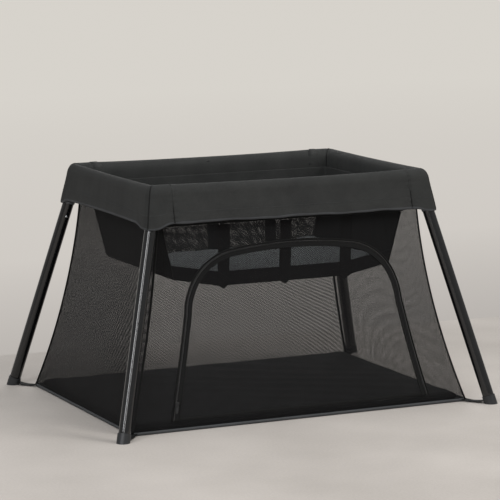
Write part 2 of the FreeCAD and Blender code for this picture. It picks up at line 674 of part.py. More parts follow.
def zip_slider():
    """The slider on the zip's tape at the left foot of the door, and the pull that hangs on its bridge."""
    foot = on_wall(-size("door_foot"), door_sill)
    top = on_wall(-size("door_side"), CREST - size("door_side_drop"))
    along = (top - foot).normalize()
    out = normal_out
    across = along.cross(out)
    rise = size("slider_up") / along.z
    base = foot + along * rise + out * (size("cloth_gap") * 2 + size("tape_t"))

    def block(start, length, width, thickness):
        corners = [start - across * width / 2, start + across * width / 2]
        corners += [corners[1] + along * length, corners[0] + along * length]
        return Part.Face(Part.makePolygon(corners + corners[:1])).extrude(out * thickness)

    body = block(base, size("slider_len"), size("slider_w"), size("slider_t"))
    soft("zip_slider", body)
    hang = base + along * (size("slider_len") * 0.7) + out * (size("slider_t") + size("cloth_gap"))
    down = along * -size("pull_len")
    soft("zip_pull", block(hang + down, size("pull_len"), size("pull_w"), size("pull_t")))


zip_slider()

floor_low = size("floor_gap")
floor_high = floor_low + size("floor_t")
soft("floor_sheet", Part.makeBox(
    2 * floor_x, 2 * floor_y, size("floor_t"), V(-floor_x, -floor_y, floor_low),
))
edge = size("mattress_edge")
soft("play_mattress", Part.makeBox(
    2 * (floor_x - edge), 2 * (floor_y - edge), size("mattress_t"),
    V(edge - floor_x, edge - floor_y, floor_high + size("cloth_gap")),
))


def corner_straps(sx):
    """The two straps at one end of the pen, from the floor's corners to the foot caps."""
    lean = math.hypot(size("foot_x") - size("pivot_x"), size("foot_y") - size("pivot_y")) / pivot_z
    strap_top = floor_high + size("cloth_gap") + size("strap_t")
    cap_reach = (size("leg_d") / 2 + size("cap_wall")) * math.hypot(1, lean) + strap_top * lean
    straps = []
    for _, sy in SIDES:
        corner = V(sx * floor_x, sy * floor_y, floor_high)
        foot = V(sx * size("foot_x"), sy * size("foot_y"), floor_high)
        towards = (foot - corner).normalize()
        clear = (foot - corner).Length - cap_reach - size("strap_end")
        across = towards.cross(V(0, 0, 1)) * size("strap_w") / 2
        start = corner + towards * size("strap_start") + V(0, 0, size("cloth_gap"))
        reach = towards * (clear - size("strap_start"))
        points = [start - across, start + across, start + across + reach, start - across + reach]
        straps.append(Part.Face(Part.makePolygon(points + points[:1])).extrude(V(0, 0, size("strap_t"))))
    return straps


soft("corner_straps", Part.makeCompound(corner_straps(-1) + corner_straps(1)))


# ---------------------------------------------------------------- the bassinet

RIM = CREST - size("bassinet_top")
rim_x, rim_y = inner_x - size("bassinet_play"), inner_y - size("bassinet_play")
foot_x, foot_y, foot_z = rim_x - size("batter_x"), rim_y - size("batter_y"), RIM - size("end_drop")
flat_x, flat_z = size("flat_x"), RIM - size("flat_drop")
skin_t = size("panel_t")


def bottom_points(lift, half):
    """The bassinet's bottom in side view: flat in the middle, rising to both ends."""
    return [(-half, foot_z + lift), (-flat_x, flat_z + lift), (flat_x, flat_z + lift), (half, foot_z + lift)]


def bottom_slab(lift, thickness, half_x, half_y):
    """A layer of the bassinet's bottom."""
    low = [V(x, -half_y, z) for x, z in bottom_points(lift, half_x)]
    high = [V(x, -half_y, z) for x, z in bottom_points(lift + thickness, half_x)]
    outline = low + high[::-1]
    return Part.Face(Part.makePolygon(outline + outline[:1])).extrude(V(0, 2 * half_y, 0))


def side_y(height, out=0.0):
    """How far a side panel's outer face stands from the middle at a height."""
    share = (height - flat_z) / (RIM - flat_z)
    return foot_y + share * (rim_y - foot_y) + out


def end_x(height, out=0.0):
    """How far an end panel's outer face stands from the middle at a height."""
    share = (height - foot_z) / (RIM - foot_z)
    return foot_x + share * (rim_x - foot_x) + out


def side_strip(points, out, thickness):
    """A strip of a side panel's plane at the back, from (x, height) points, thickened inwards."""
    return panel([V(x, side_y(z, out), z) for x, z in points], thickness)


seam_gap = size("cloth_gap")
band = size("band_height")
trim = skin_t + seam_gap
rim_low = RIM - size("rim_height")
end_foot = end_x(foot_z) - trim
band_low = bottom_points(0, end_foot)
band_high = [(x, z + band) for x, z in bottom_points(0, end_x(foot_z + band) - trim)]
mesh_low = [(x, z + seam_gap) for x, z in band_high]
panel_top = rim_low - skin_t
mesh_top = end_x(panel_top) - trim
back_band = side_strip(band_low[::-1] + band_high, 0, skin_t)
back_mesh = side_strip(mesh_low[::-1] + [(-mesh_top, panel_top), (mesh_top, panel_top)], 0, skin_t)
soft("bassinet_mesh", Part.makeCompound([back_mesh, turned(back_mesh)]))
under = bottom_slab(0, skin_t, end_foot, foot_y - trim)
soft("bassinet_base", Part.makeCompound([back_band, turned(back_band), under]))
end_half_low, end_half_high = side_y(foot_z) - skin_t, side_y(panel_top) - skin_t
end_panel = panel([
    V(end_x(foot_z), -end_half_low, foot_z), V(end_x(foot_z), end_half_low, foot_z),
    V(end_x(panel_top), end_half_high, panel_top), V(end_x(panel_top), -end_half_high, panel_top),
], skin_t)
soft("bassinet_ends", Part.makeCompound([end_panel, turned(end_panel)]))
rim_skin = 2 * skin_t
rim_round = size("lining_round")
rim_outside = rounded(rim_x, rim_y, rim_round, rim_low)
rim_inside = rounded(rim_x - rim_skin, rim_y - rim_skin, rim_round - rim_skin, rim_low)
rim_up = V(0, 0, size("rim_height"))
soft("bassinet_rim", Part.Face(rim_outside).extrude(rim_up).cut(Part.Face(rim_inside).extrude(rim_up)))
board_lift = skin_t + seam_gap
board_edge, pad_edge = size("board_edge"), size("pad_edge")
board_t = size("board_t")
soft("bassinet_board", bottom_slab(board_lift, board_t, end_foot - board_edge, foot_y - skin_t - board_edge))
pad_lift = board_lift + board_t + seam_gap
soft("bassinet_pad", bottom_slab(pad_lift, size("pad_t"), end_foot - pad_edge, foot_y - skin_t - pad_edge))


def web(middle_x):
    """A carrying web: down the front, under the bottom and up the back."""
    left, right = (middle_x + side * size("web_w") / 2 for side in (-1, 1))
    thick = size("web_t")
    low = flat_z - seam_gap - thick
    edges = [(right, low), (left, low), (left, panel_top), (right, panel_top)]
    up = side_strip(edges, thick + seam_gap, thick)
    reach = side_y(low, seam_gap + thick)
    under_run = Part.makeBox(right - left, 2 * reach, thick, V(left, -reach, low))
    return up.fuse([up.mirror(V(0, 0, 0), V(0, 1, 0)), under_run])


webs = [web(step * size("web_pitch")) for step in (-1, 0, 1)]
soft("bassinet_webs", Part.makeCompound(webs))


# ---------------------------------------------------------------- checks and files

doc.recompute()
for piece in doc.Objects:
    trouble = [state for state in piece.State if state in ("Invalid", "Error")]
    if trouble:
        raise RuntimeError(f"{piece.Label} is {trouble}")
os.makedirs("parts", exist_ok=True)
for piece in nodes:
    if piece.Shape.isNull() or not piece.Shape.isValid() or not piece.Shape.Solids:
        raise RuntimeError(f"{piece.Label} has no good solid")
    if min(solid.Volume for solid in piece.Shape.Solids) <= 0:
        raise RuntimeError(f"{piece.Label} is inside out")
for piece in nodes:
    piece.Shape.exportStep(f"parts/{piece.Label}.step")
print(len(nodes), "nodes,", sum(len(piece.Shape.Solids) for piece in nodes), "solids")
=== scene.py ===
import json
import math

import bmesh
import bpy
import numpy as np
from mathutils import Matrix, Vector


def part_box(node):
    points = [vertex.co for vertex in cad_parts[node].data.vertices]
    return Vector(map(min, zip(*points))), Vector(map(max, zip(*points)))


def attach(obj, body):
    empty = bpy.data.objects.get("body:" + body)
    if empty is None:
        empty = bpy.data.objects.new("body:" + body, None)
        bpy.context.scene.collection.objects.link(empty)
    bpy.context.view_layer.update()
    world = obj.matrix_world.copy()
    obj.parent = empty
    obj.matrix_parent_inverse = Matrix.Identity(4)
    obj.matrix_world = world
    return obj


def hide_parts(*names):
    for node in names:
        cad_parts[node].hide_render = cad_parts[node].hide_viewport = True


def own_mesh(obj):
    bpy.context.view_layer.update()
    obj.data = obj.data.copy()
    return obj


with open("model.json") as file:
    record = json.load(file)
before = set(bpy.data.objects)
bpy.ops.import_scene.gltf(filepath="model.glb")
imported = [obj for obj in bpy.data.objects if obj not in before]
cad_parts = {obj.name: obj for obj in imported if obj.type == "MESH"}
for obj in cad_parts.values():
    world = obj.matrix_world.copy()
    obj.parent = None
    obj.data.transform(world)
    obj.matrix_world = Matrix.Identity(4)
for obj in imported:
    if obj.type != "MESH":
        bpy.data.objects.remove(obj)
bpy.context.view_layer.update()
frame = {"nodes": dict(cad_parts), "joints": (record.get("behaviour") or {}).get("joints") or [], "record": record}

MM = 0.001

# ---------------------------------------------------------------- where the frame is


def span(node):
    """Lowest and highest corner of a node at rest, as arrays."""
    low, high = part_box(node)
    return np.array(low), np.array(high)


HEM_X, HEM_Y, CREST = span("cover_right")[1]
HEM_Z = span("cover_front")[0][2]
INNER_Y = -span("cover_front")[1][1]
RIM_LOW, RIM_HIGH = span("bassinet_rim")
INNER_X = RIM_HIGH[0] + 4 * MM
SEAM_X = span("cover_front")[1][0] + 0.2 * MM
FLOOR_LOW, FLOOR_HIGH = span("floor_sheet")
MAT_LOW, MAT_HIGH = span("play_mattress")
WALL_LOW, WALL_HIGH = span("wall_back")
END_WALL = span("wall_right")
WALL_FOOT, WALL_TOP = WALL_LOW[2], WALL_HIGH[2]
WALL_FOOT_X, WALL_FOOT_Y = END_WALL[1][0], WALL_HIGH[1]
WALL_TOP_X = 386.5 * MM
WALL_TOP_Y = 281.5 * MM
# Where each leg's line meets the floor, and where it passes the cover's hem.
LEG_FOOT, LEG_TOP = (0.550, 0.422), (0.4135, 0.2990)
JOINTS = {joint["name"]: joint for joint in frame["joints"]}
PIVOT = np.array(JOINTS["front_right_leg_swing"]["pos_m"])
# Each group of soft pieces has an anchor at its own left end and a share along X, which nothing reads.
FOLD_ANCHOR, PEN_KEEP = (-PIVOT[0], 0, 0), 0.21
COVER_ANCHOR, COVER_KEEP = (-SEAM_X, 0, 0), 0.114
COT_ANCHOR, COT_KEEP = (-RIM_HIGH[0], 0, 0), 0.165
SIDES = (("front", -1), ("back", 1))
ENDS = (("left", -1), ("right", 1))

# ---------------------------------------------------------------- meshes from arrays


def piece(name, points, faces, material):
    """A smooth-shaded mesh object at the origin from an n x 3 array of points and lists of face corners."""
    mesh = bpy.data.meshes.new(name)
    mesh.from_pydata(np.asarray(points, float).tolist(), [], faces)
    mesh.polygons.foreach_set("use_smooth", [True] * len(mesh.polygons))
    mesh.materials.append(material)
    mesh.update()
    made = bpy.data.objects.new(name, mesh)
    bpy.context.scene.collection.objects.link(made)
    return made


def grid_faces(rows, columns, wrap_rows=False, wrap_columns=False, start=0, flip=False):
    """Quads of a grid of points numbered row by row, joined end to end where it wraps."""
    r = np.arange(rows if wrap_rows else rows - 1)[:, None]
    c = np.arange(columns if wrap_columns else columns - 1)[None, :]
    r1, c1 = (r + 1) % rows, (c + 1) % columns
    quads = np.stack([r * columns + c, r * columns + c1, r1 * columns + c1, r1 * columns + c], axis=-1)
    quads = quads.reshape(-1, 4) + start
    return (quads[:, ::-1] if flip else quads).tolist()


def sheet_piece(name, points, material):
    """A surface from a rows x columns x 3 array."""
    return piece(name, points.reshape(-1, 3), grid_faces(*points.shape[:2]), material)


def smooth(made, levels):
    """Subdivision, the same in the view and in the render."""
    rounder = made.modifiers.new("round", "SUBSURF")
    rounder.levels = rounder.render_levels = levels
    return made


def applied(made):
    """The object with its modifiers turned into mesh."""
    bpy.context.view_layer.update()
    source = made.evaluated_get(bpy.context.evaluated_depsgraph_get())
    mesh = bpy.data.meshes.new_from_object(source)
    old = made.data
    made.modifiers.clear()
    made.data = mesh
    bpy.data.meshes.remove(old)
    return made


def thickened(made, thickness, offset=-1.0):
    """A sheet given its cloth's thickness, behind its faces with an offset of -1 and in front of them with
    1."""
    shell = made.modifiers.new("thickness", "SOLIDIFY")
    shell.thickness, shell.offset = thickness, offset
    return applied(made)


def points_of(mesh):
    """A mesh's points as an n x 3 array."""
    points = np.zeros(len(mesh.vertices) * 3)
    mesh.vertices.foreach_get("co", points)
    return points.reshape(-1, 3)


def move_points(made, points):
    """Puts an object's points at new places."""
    made.data.vertices.foreach_set("co", points.ravel())
    made.data.update()


def frames_along(path, up, closed=False):
    """Unit vectors along a path and, square to it, sideways and upwards nearest to the given up direction."""
    if closed:
        ahead = np.roll(path, -1, 0) - np.roll(path, 1, 0)
    else:
        ahead = np.gradient(path, axis=0)
    ahead = ahead / np.linalg.norm(ahead, axis=1, keepdims=True)
    up = np.broadcast_to(np.asarray(up, float), path.shape)
    side = np.cross(ahead, up)
    side = side / np.linalg.norm(side, axis=1, keepdims=True)
    return ahead, side, np.cross(side, ahead)


def carried(name, path, profile, up, material, closed=False):
    """A closed profile (n x 2: sideways, upwards) carried along a path, with its ends closed by flat caps."""
    _, side, above = frames_along(path, up, closed)
    points = path[:, None] + side[:, None] * profile[None, :, :1] + above[:, None] * profile[None, :, 1:]
    if not closed:
        return capped(name, points, material)
    faces = grid_faces(*points.shape[:2], wrap_rows=True, wrap_columns=True)
    return outward(piece(name, points.reshape(-1, 3), faces, material))


def capped(name, points, material):
    """A closed solid from a stack of rings of points, rows x columns x 3, with a flat cap at each end."""
    rows, columns = points.shape[:2]
    faces = grid_faces(rows, columns, wrap_columns=True)
    faces.append(list(range(columns)))
    faces.append(list(range((rows - 1) * columns, rows * columns))[::-1])
    return outward(piece(name, points.reshape(-1, 3), faces, material))


def outward(made):
    """Turns every face of a closed piece outwards."""
    work = bmesh.new()
    work.from_mesh(made.data)
    bmesh.ops.remove_doubles(work, verts=work.verts, dist=1e-7)
    bmesh.ops.recalc_face_normals(work, faces=work.faces)
    work.to_mesh(made.data)
    work.free()
    return made


def oval(wide, high, count=12, power=2.0):
    """A closed oval: wide x high, rounder with power 2 and squarer above it."""
    turn = np.linspace(0, 2 * np.pi, count, endpoint=False)
    c, s = np.cos(turn), np.sin(turn)
    x = np.sign(c) * np.abs(c) ** (2 / power) * wide / 2
    y = np.sign(s) * np.abs(s) ** (2 / power) * high / 2
    return np.stack([x, y], 1)


def turned(name, profile, start, direction, material, count=48):
    """A profile (distance along, radius) turned round an axis from a start point, closed at both ends."""
    direction = np.asarray(direction, float) / np.linalg.norm(direction)
    across = np.cross(direction, (0, 1, 0.3))
    across = across / np.linalg.norm(across)
    other = np.cross(direction, across)
    turn = np.linspace(0, 2 * np.pi, count, endpoint=False)
    ring = np.cos(turn)[:, None] * across + np.sin(turn)[:, None] * other
    profile = np.asarray(profile, float)
    points = np.asarray(start, float) + profile[:, None, :1] * direction + profile[:, None, 1:] * ring[None]
    return capped(name, points, material)


def spline(knots, count):
    """A smooth line through points: each coordinate is a Catmull-Rom curve over the points' numbers."""
    knots = np.asarray(knots, float)
    ends = np.vstack([2 * knots[0] - knots[1], knots, 2 * knots[-1] - knots[-2]])
    t = np.linspace(0, len(knots) - 1 - 1e-9, count)
    i = t.astype(int)
    u = (t - i)[:, None]
    a, b, c, d = (ends[i + k] for k in range(4))
    return 0.5 * (2 * b + (c - a) * u + (2 * a - 5 * b + 4 * c - d) * u ** 2
                  + (3 * b - a - 3 * c + d) * u ** 3)


def even(path, step):
    """The same path with its points evenly spaced."""
    path = np.asarray(path, float)
    reach = np.concatenate([[0], np.cumsum(np.linalg.norm(np.diff(path, axis=0), axis=1))])
    count = max(2, int(round(reach[-1] / step)) + 1)
    at = np.linspace(0, reach[-1], count)
    return np.stack([np.interp(at, reach, path[:, k]) for k in range(3)], 1)


def ripple(*terms):
    """A sum of sines, each (amplitude, wavelength, phase), as a function of distance."""
    def height(at):
        return sum(a * np.sin(2 * np.pi * at / w + p) for a, w, p in terms)
    return height


def bump(at, middle, width):
    """One smooth hump: 1 in the middle, falling to 0 as a bell of that width."""
    return np.exp(-((at - middle) / width) ** 2)


# ---------------------------------------------------------------- materials


def linear(code):
    """An sRGB hex colour as linear RGBA."""
    parts = np.array([int(code[i:i + 2], 16) / 255 for i in (0, 2, 4)])
    parts = np.where(parts <= 0.04045, parts / 12.92, ((parts + 0.055) / 1.055) ** 2.4)
    return (*parts, 1.0)


def feed(tree, node, sources):
    """Gives a node's inputs, by number or name, a number or another node's output. A node stands for its
    first."""
    for key, source in sources.items():
        if isinstance(source, (int, float)):
            node.inputs[key].default_value = source
        else:
            tree.links.new(source.outputs[0] if isinstance(source, bpy.types.Node) else source,
                           node.inputs[key])


def add(tree, kind, settings=None, *numbered, **named):
    """Adds a node, sets its properties, plain inputs and, for a ramp, stops of (position, hex colour), then
    feeds its other inputs in order or by name."""
    made = tree.nodes.new(kind)
    for key, value in (settings or {}).items():
        if key == "stops":
            stops = made.color_ramp.elements
            while len(stops) < len(value):
                stops.new(0.5)
            for stop, (at, code) in zip(stops, value):
                stop.position, stop.color = at, linear(code)
        elif hasattr(made, key):
            setattr(made, key, value)
        else:
            made.inputs[key].default_value = value
    feed(tree, made, dict(enumerate(numbered)))
    feed(tree, made, {key.replace("_", " "): source for key, source in named.items()})
    return made


def material(name, shader):
    """A material with one Principled shader, whose plain socket values are given, and its tree and shader."""
    made = bpy.data.materials.new(name)
    made.use_nodes = True
    tree = made.node_tree
    tree.nodes.clear()
    surface = add(tree, "ShaderNodeBsdfPrincipled", shader)
    add(tree, "ShaderNodeOutputMaterial", Surface=surface)
    return made, tree, surface


def placed(tree, scale=(1, 1, 1)):
    """Object coordinates, in metres, scaled."""
    where = add(tree, "ShaderNodeTexCoord")
    return add(tree, "ShaderNodeMapping", {"Scale": scale}, Vector=where.outputs["Object"])


MATHS, RAMP, RANGE, NOISE = "ShaderNodeMath", "ShaderNodeValToRGB", "ShaderNodeMapRange", "ShaderNodeTexNoise"
PLUS, MINUS, TIMES = {"operation": "ADD"}, {"operation": "SUBTRACT"}, {"operation": "MULTIPLY"}
SINE, COSINE = {"operation": "SINE"}, {"operation": "COSINE"}
SIZE, GREATER = {"operation": "ABSOLUTE"}, {"operation": "GREATER_THAN"}


def woven(name, dark, light, pitch, roughness, sheen=0.3, cloudy=18.0, bump_strength=0.35, blotch=0.35):
    """Woven cloth: crossed threads at a pitch in metres raise it, fine noise colours its yarns, broad noise
    its wear."""
    made, tree, surface = material(name, {
        "Roughness": roughness, "Sheen Weight": sheen, "Sheen Roughness": 0.5, "Specular IOR Level": 0.25,
    })
    x, y, z = add(tree, "ShaderNodeSeparateXYZ", None, add(tree,
                                                           "ShaderNodeTexCoord").outputs["Object"]).outputs
    rate = 2 * math.pi / pitch
    warp = add(tree, MATHS, SINE, add(tree, MATHS, TIMES, add(tree, MATHS, PLUS, x, y), rate))
    weft = add(tree, MATHS, SINE, add(tree, MATHS, TIMES, z, rate))
    weave = add(tree, MATHS, TIMES, warp, weft)
    yarn = add(tree, NOISE, {"Scale": 1 / (2.2 * pitch), "Detail": 3.0, "Roughness": 0.6},
               Vector=placed(tree, (1, 1, 3))).outputs["Fac"]
    broad = add(tree, NOISE, {"Scale": cloudy, "Detail": 4.0}, Vector=placed(tree)).outputs["Fac"]
    mixed = add(tree, MATHS, PLUS, add(tree, MATHS, TIMES, yarn, 1 - blotch),
                add(tree, MATHS, TIMES, broad, blotch))
    height = add(tree, MATHS, PLUS, add(tree, MATHS, TIMES, weave, 0.5), yarn)
    feed(tree, surface, {
        "Base Color": add(tree, RAMP, {"stops": ((0.34, dark), (0.66, light))}, mixed),
        "Roughness": add(tree, RANGE, {"To Min": roughness - 0.08, "To Max": roughness + 0.08}, broad),
        "Normal": add(tree, "ShaderNodeBump", {"Strength": bump_strength, "Distance": 0.4 * pitch},
                      Height=height),
    })
    return made


def netting(name, thread, pitch, open_share, turn=0.0, tint="0c0c0d"):
    """Warp-knit netting: alpha is 1 on the threads and falls in round holes set in a triangular lattice, at
    a pitch in metres and turned by an angle. The holes are where the sum of three cosines, 120 degrees
    apart, is above the level that leaves the open share."""
    made, tree, surface = material(name, {"Roughness": 0.7, "Specular IOR Level": 0.15})
    where = add(tree, "ShaderNodeTexCoord")
    x, y, z = add(tree, "ShaderNodeSeparateXYZ", None, where.outputs["Object"]).outputs
    facing = add(tree, "ShaderNodeSeparateXYZ", None, where.outputs["Normal"]).outputs
    end_on = add(tree, MATHS, GREATER, add(tree, MATHS, SIZE, facing[0]), add(tree, MATHS, SIZE, facing[1]))
    side_on = add(tree, MATHS, MINUS, 1.0, end_on)
    across = add(tree, MATHS, PLUS, add(tree, MATHS, TIMES, y, end_on), add(tree, MATHS, TIMES, x, side_on))
    rate = 2 * math.pi / pitch
    lattice = np.arange(3) * 2 * np.pi / 3
    waves = []
    for angle in math.radians(turn) + lattice:
        sideways = add(tree, MATHS, TIMES, across, rate * math.cos(angle))
        upwards = add(tree, MATHS, TIMES, z, rate * math.sin(angle))
        waves.append(add(tree, MATHS, COSINE, add(tree, MATHS, PLUS, sideways, upwards)))
    total = add(tree, MATHS, PLUS, add(tree, MATHS, PLUS, waves[0], waves[1]), waves[2])
    u, v = np.meshgrid(np.linspace(0, 4 * np.pi, 241), np.linspace(0, 4 * np.pi, 241))
    cell = sum(np.cos(u * math.cos(angle) + v * math.sin(angle)) for angle in lattice)
    edge = float(np.quantile(cell, 1 - open_share))
    solid = add(tree, RANGE, {"From Min": edge - 0.5, "From Max": edge + 0.5, "To Min": 1.0, "To Max": 0.0},
                total)
    feed(tree, surface, {"Alpha": solid, "Base Color": add(tree, RAMP,
                                                           {"stops": ((0.2, tint), (1.0, thread))}, solid)})
    return made


def moulded(name, colour, other, roughness, grain=0.9 * MM, strength=0.12, coat=0.0):
    """Moulded plastic or rubber: a fine sand-textured skin, slightly uneven in gloss."""
    made, tree, surface = material(name, {"Roughness": roughness, "Coat Weight": coat, "IOR": 1.5})
    sand = add(tree, NOISE, {"Scale": 1 / grain, "Detail": 2.0}, Vector=placed(tree))
    broad = add(tree, NOISE, {"Scale": 30.0, "Detail": 3.0}, Vector=placed(tree))
    skin(tree, surface, sand, broad, (colour, other), (roughness - 0.06, roughness + 0.1),
         (strength, 0.1 * MM))
    return made


def skin(tree, surface, fine, broad, colours, gloss, relief):
    """Broad noise shades a surface between two colours and two roughnesses; fine noise raises it, by a bump's
    strength and distance."""
    feed(tree, surface, {
        "Base Color": add(tree, RAMP, {"stops": ((0.3, colours[0]), (0.7, colours[1]))},
                          broad.outputs["Fac"]),
        "Roughness": add(tree, RANGE, {"To Min": gloss[0], "To Max": gloss[1]}, broad.outputs["Fac"]),
        "Normal": add(tree, "ShaderNodeBump", {"Strength": relief[0], "Distance": relief[1]},
                      Height=fine.outputs["Fac"]),
    })


def metal(name, colour, other, roughness, lines=0.25 * MM, along=(1, 1, 1), metallic=1.0, coat=0.0):
    """Bare or painted metal tube: faint drawing lines and smudges in its gloss."""
    made, tree, surface = material(name, {"Metallic": metallic, "Roughness": roughness, "Coat Weight": coat,
                                          "Coat Roughness": 0.06})
    drawn = add(tree, NOISE, {"Scale": 1 / lines, "Detail": 2.0}, Vector=placed(tree, along))
    smudge = add(tree, NOISE, {"Scale": 14.0, "Detail": 5.0}, Vector=placed(tree))
    skin(tree, surface, drawn, smudge, (colour, other), (roughness - 0.02, roughness + 0.03),
         (0.05, 0.05 * MM))
    return made


# Heathered polyester canvas, woven from two greys of yarn: flecked charcoal, matt, with hardly any sheen.
# The threads are 0.5 mm apart, drawn at 1.2 mm so that the weave shows.
HEATHER = woven("heathered_polyester_canvas", "1f2020", "323332", 1.2 * MM, 0.9, sheen=0.02)
# Oxford cloth with a rubbery coat: near black, a dull gloss that shows every crease.
OXFORD = woven("coated_oxford_cloth", "060606", "0b0b0b", 1.0 * MM, 0.78, sheen=0.0, bump_strength=0.2)
# Plain black woven polyester of the solid end panels and the foot band.
PANEL = woven("plain_woven_polyester", "0d0d0e", "161617", 0.9 * MM, 0.85, sheen=0.0)
# Folded binding tape, tightly woven, a little shiny along its fold.
BINDING = woven("folded_binding_tape", "050505", "0a0a0a", 0.8 * MM, 0.75, sheen=0.0)
# Grey piping along the floor's edge, catches the light along its top.
PIPING = woven("grey_piping", "36383a", "4a4c4e", 0.9 * MM, 0.6, sheen=0.02)
# The cover's own hem, folded twice: the same canvas in paler colours, a painted highlight along its roll.
LIT_HEM = woven("folded_canvas_hem_painted_highlight", "2c2d2f", "434547", 1.0 * MM, 0.85, sheen=0.03)
# Polypropylene webbing: coarse ribs, 1.6 mm apart.
WEBBING = woven("polypropylene_webbing", "0a0a0a", "151615", 1.6 * MM, 0.8, sheen=0.0, bump_strength=0.5)
# Brushed jersey over soft wadding: light grey, no gloss.
JERSEY = woven("brushed_jersey", "92979a", "a3a8a9", 1.1 * MM, 0.95, sheen=0.03, blotch=0.2)
# Zip tape: close woven, black, flat.
ZIP_TAPE = woven("zip_tape_weave", "0b0b0c", "131414", 0.8 * MM, 0.85, sheen=0.0)
# Bonded sewing thread.
THREAD = moulded("bonded_polyester_thread", "2c2d2f", "3c3e40", 0.6, grain=0.3 * MM)
# Nylon coil of the zip: smooth and glossy.
COIL = moulded("nylon_coil", "060606", "0b0b0c", 0.3, grain=0.5 * MM)
# Warp-knit netting of the front wall and the door, its holes 1.7 mm apart.
WALL_NET = netting("warp_knit_netting", "121213", 1.7 * MM, 0.40)
# The same netting on the back and right walls, with the knit turned so that its rows cross the front's.
BACK_NET = netting("warp_knit_netting_turned", "121213", 1.6 * MM, 0.42, turn=17)
# The left end is knitted closer.
CLOSE_NET = netting("close_warp_knit_netting", "111112", 1.7 * MM, 0.15, turn=-11)
# The bassinet's netting is the same yarn, knitted a little coarser.
COT_NET = netting("soft_warp_knit_netting", "161818", 1.9 * MM, 0.34, turn=26)
# Gloss black enamel on a drawn steel tube: deep black with sharp highlights.
ENAMEL = metal("gloss_black_enamel", "08090a", "0c0d0f", 0.2, along=(1, 1, 0.1), metallic=0.0, coat=0.4)
# Aluminium tube as drawn.
ALUMINIUM = metal("drawn_aluminium", "b9bbbd", "c7c9cb", 0.34, along=(0.05, 1, 1))
# Plated steel pins and rivets.
PLATED = metal("zinc_plated_steel", "a9abad", "bdbfc0", 0.28)
# Zip slider: die cast and painted black.
DIE_CAST = metal("black_painted_zinc", "0d0d0e", "151516", 0.35, metallic=0.0, coat=0.2)
# Glass-filled nylon of the brackets and fittings: dull black with a sandy skin.
NYLON = moulded("glass_filled_nylon", "101011", "17181a", 0.5)
# Collars and foot caps: moulded polypropylene, dark grey where it turns to the light.
CAP = moulded("moulded_polypropylene", "1b1d1f", "26282b", 0.42)
# The ring under each flap: paler polypropylene.
COLLAR = moulded("grey_polypropylene", "4a4d51", "5c5f63", 0.4)
# Lock buttons: moulded ABS.
BUTTON = moulded("red_abs", "6d1512", "7c1b16", 0.3, strength=0.05)
# Hardboard: brown pressed fibre.
BOARD = moulded("pressed_hardboard", "5a4634", "6d563f", 0.85, grain=1.6 * MM, strength=0.4)

FINISHES = {
    "leg_black": ENAMEL, "moulded_black": NYLON, "foot_rubber": CAP, "rail_metal": ALUMINIUM,
    "pin_steel": PLATED,
    "button_red": BUTTON, "board": BOARD, "cover_cloth": HEATHER, "mesh_cloth": WALL_NET,
    "zip_tape": ZIP_TAPE,
    "zip_metal": DIE_CAST, "floor_cloth": OXFORD, "webbing": WEBBING, "bassinet_cloth": PANEL,
    "pad_cloth": JERSEY,
}
for entry in frame["record"]["subparts"]:
    held = frame["nodes"][entry["node"]]
    held.data.materials.clear()
    held.data.materials.append(FINISHES[entry["material_slot"]])

# ---------------------------------------------------------------- how each piece goes with the folding frame


def rides(made, body, slot, *nodes, anchor=None, keep=1.0):
    """A piece that moves with a body, in place of any nodes, with a mesh of its own if it has an anchor."""
    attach(made, body)
    if anchor:
        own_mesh(made)
    if nodes:
        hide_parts(*nodes)
    return made


def closes(made, slot, *nodes, body="left_end"):
    """A soft piece of the standing pen: it rides with a body, the left end unless another is given, with a mesh of
    its own.
    """
    return rides(made, body, slot, *nodes, anchor=FOLD_ANCHOR, keep=PEN_KEEP)


# ---------------------------------------------------------------- the padded cover

# The cover's section, as (share of the way from the hem to the lining, drop below the crest in mm): up the
# outside, over the padded rail, down the inside. The first and last points turn the hems under.
SECTION = np.array((
    (0.030, 101.0), (0.004, 105.0), (-0.012, 101.0), (0.012, 94.0), (0.086, 75.0), (0.181, 50.0), (0.235,
                                                                                                   33.0),
    (0.272, 20.0), (0.336, 10.0), (0.414, 4.0), (0.534, 0.4), (0.68, 1.6), (0.82, 6.5), (0.93,
                                                                                         15.0), (0.975, 30.0),
    (0.99, 60.0), (1.0, 92.0), (0.99, 99.0),
))
SECTION_DROP = 105 * MM
CORNER_R, LINING_R = 24 * MM, 12 * MM
# The numbers of section points that the hem, its outward direction and the stitches above it start from.
HEM_POINT, FACE_POINT, STITCH_POINT = 4, 5, 17
# Where a side seam's length starts, and how many points go round each of the ring's corners.
SEAM_START, CORNER_POINTS = 5, 14
FLAP_R, FLAP_DROP = 0.036, 11 * MM


def ring(half_x, half_y, radius, side_count, corner_count):
    """A rectangle with round corners in plan, from the middle of the right side round anticlockwise:
    points, and the outward direction at each."""
    points, out = [], []
    corners = ((1, 1), (-1, 1), (-1, -1), (1, -1))
    for k, (sx, sy) in enumerate(corners):
        turn = k * np.pi / 2 + np.linspace(0, np.pi / 2, corner_count)
        way = np.stack([np.cos(turn), np.sin(turn)], 1)
        arc = np.array([sx * (half_x - radius), sy * (half_y - radius)]) + way * radius
        nx, ny = corners[(k + 1) % 4]
        nxt = np.array([nx * (half_x - radius), ny * (half_y - radius)]) + radius * way[-1]
        share = np.linspace(0, 1, side_count + 2)[1:-1, None]
        points += [arc, arc[-1] * (1 - share) + nxt * share]
        out += [way, np.repeat(way[-1:], side_count, 0)]
    return np.vstack(points), np.vstack(out)


def crest_drop(x, y):
    """How far the padded crest sags below the corners, in metres, over the plan."""
    along = np.clip(1 - (x / SEAM_X) ** 2, 0, 1)
    across = np.clip(1 - (y / HEM_Y) ** 2, 0, 1)
    long_side = np.abs(y) > INNER_Y * 0.97
    sag = 3.6 * along ** 0.8
    return MM * np.where(long_side & (np.abs(x) < SEAM_X), sag, 2.5 * across ** 0.8)


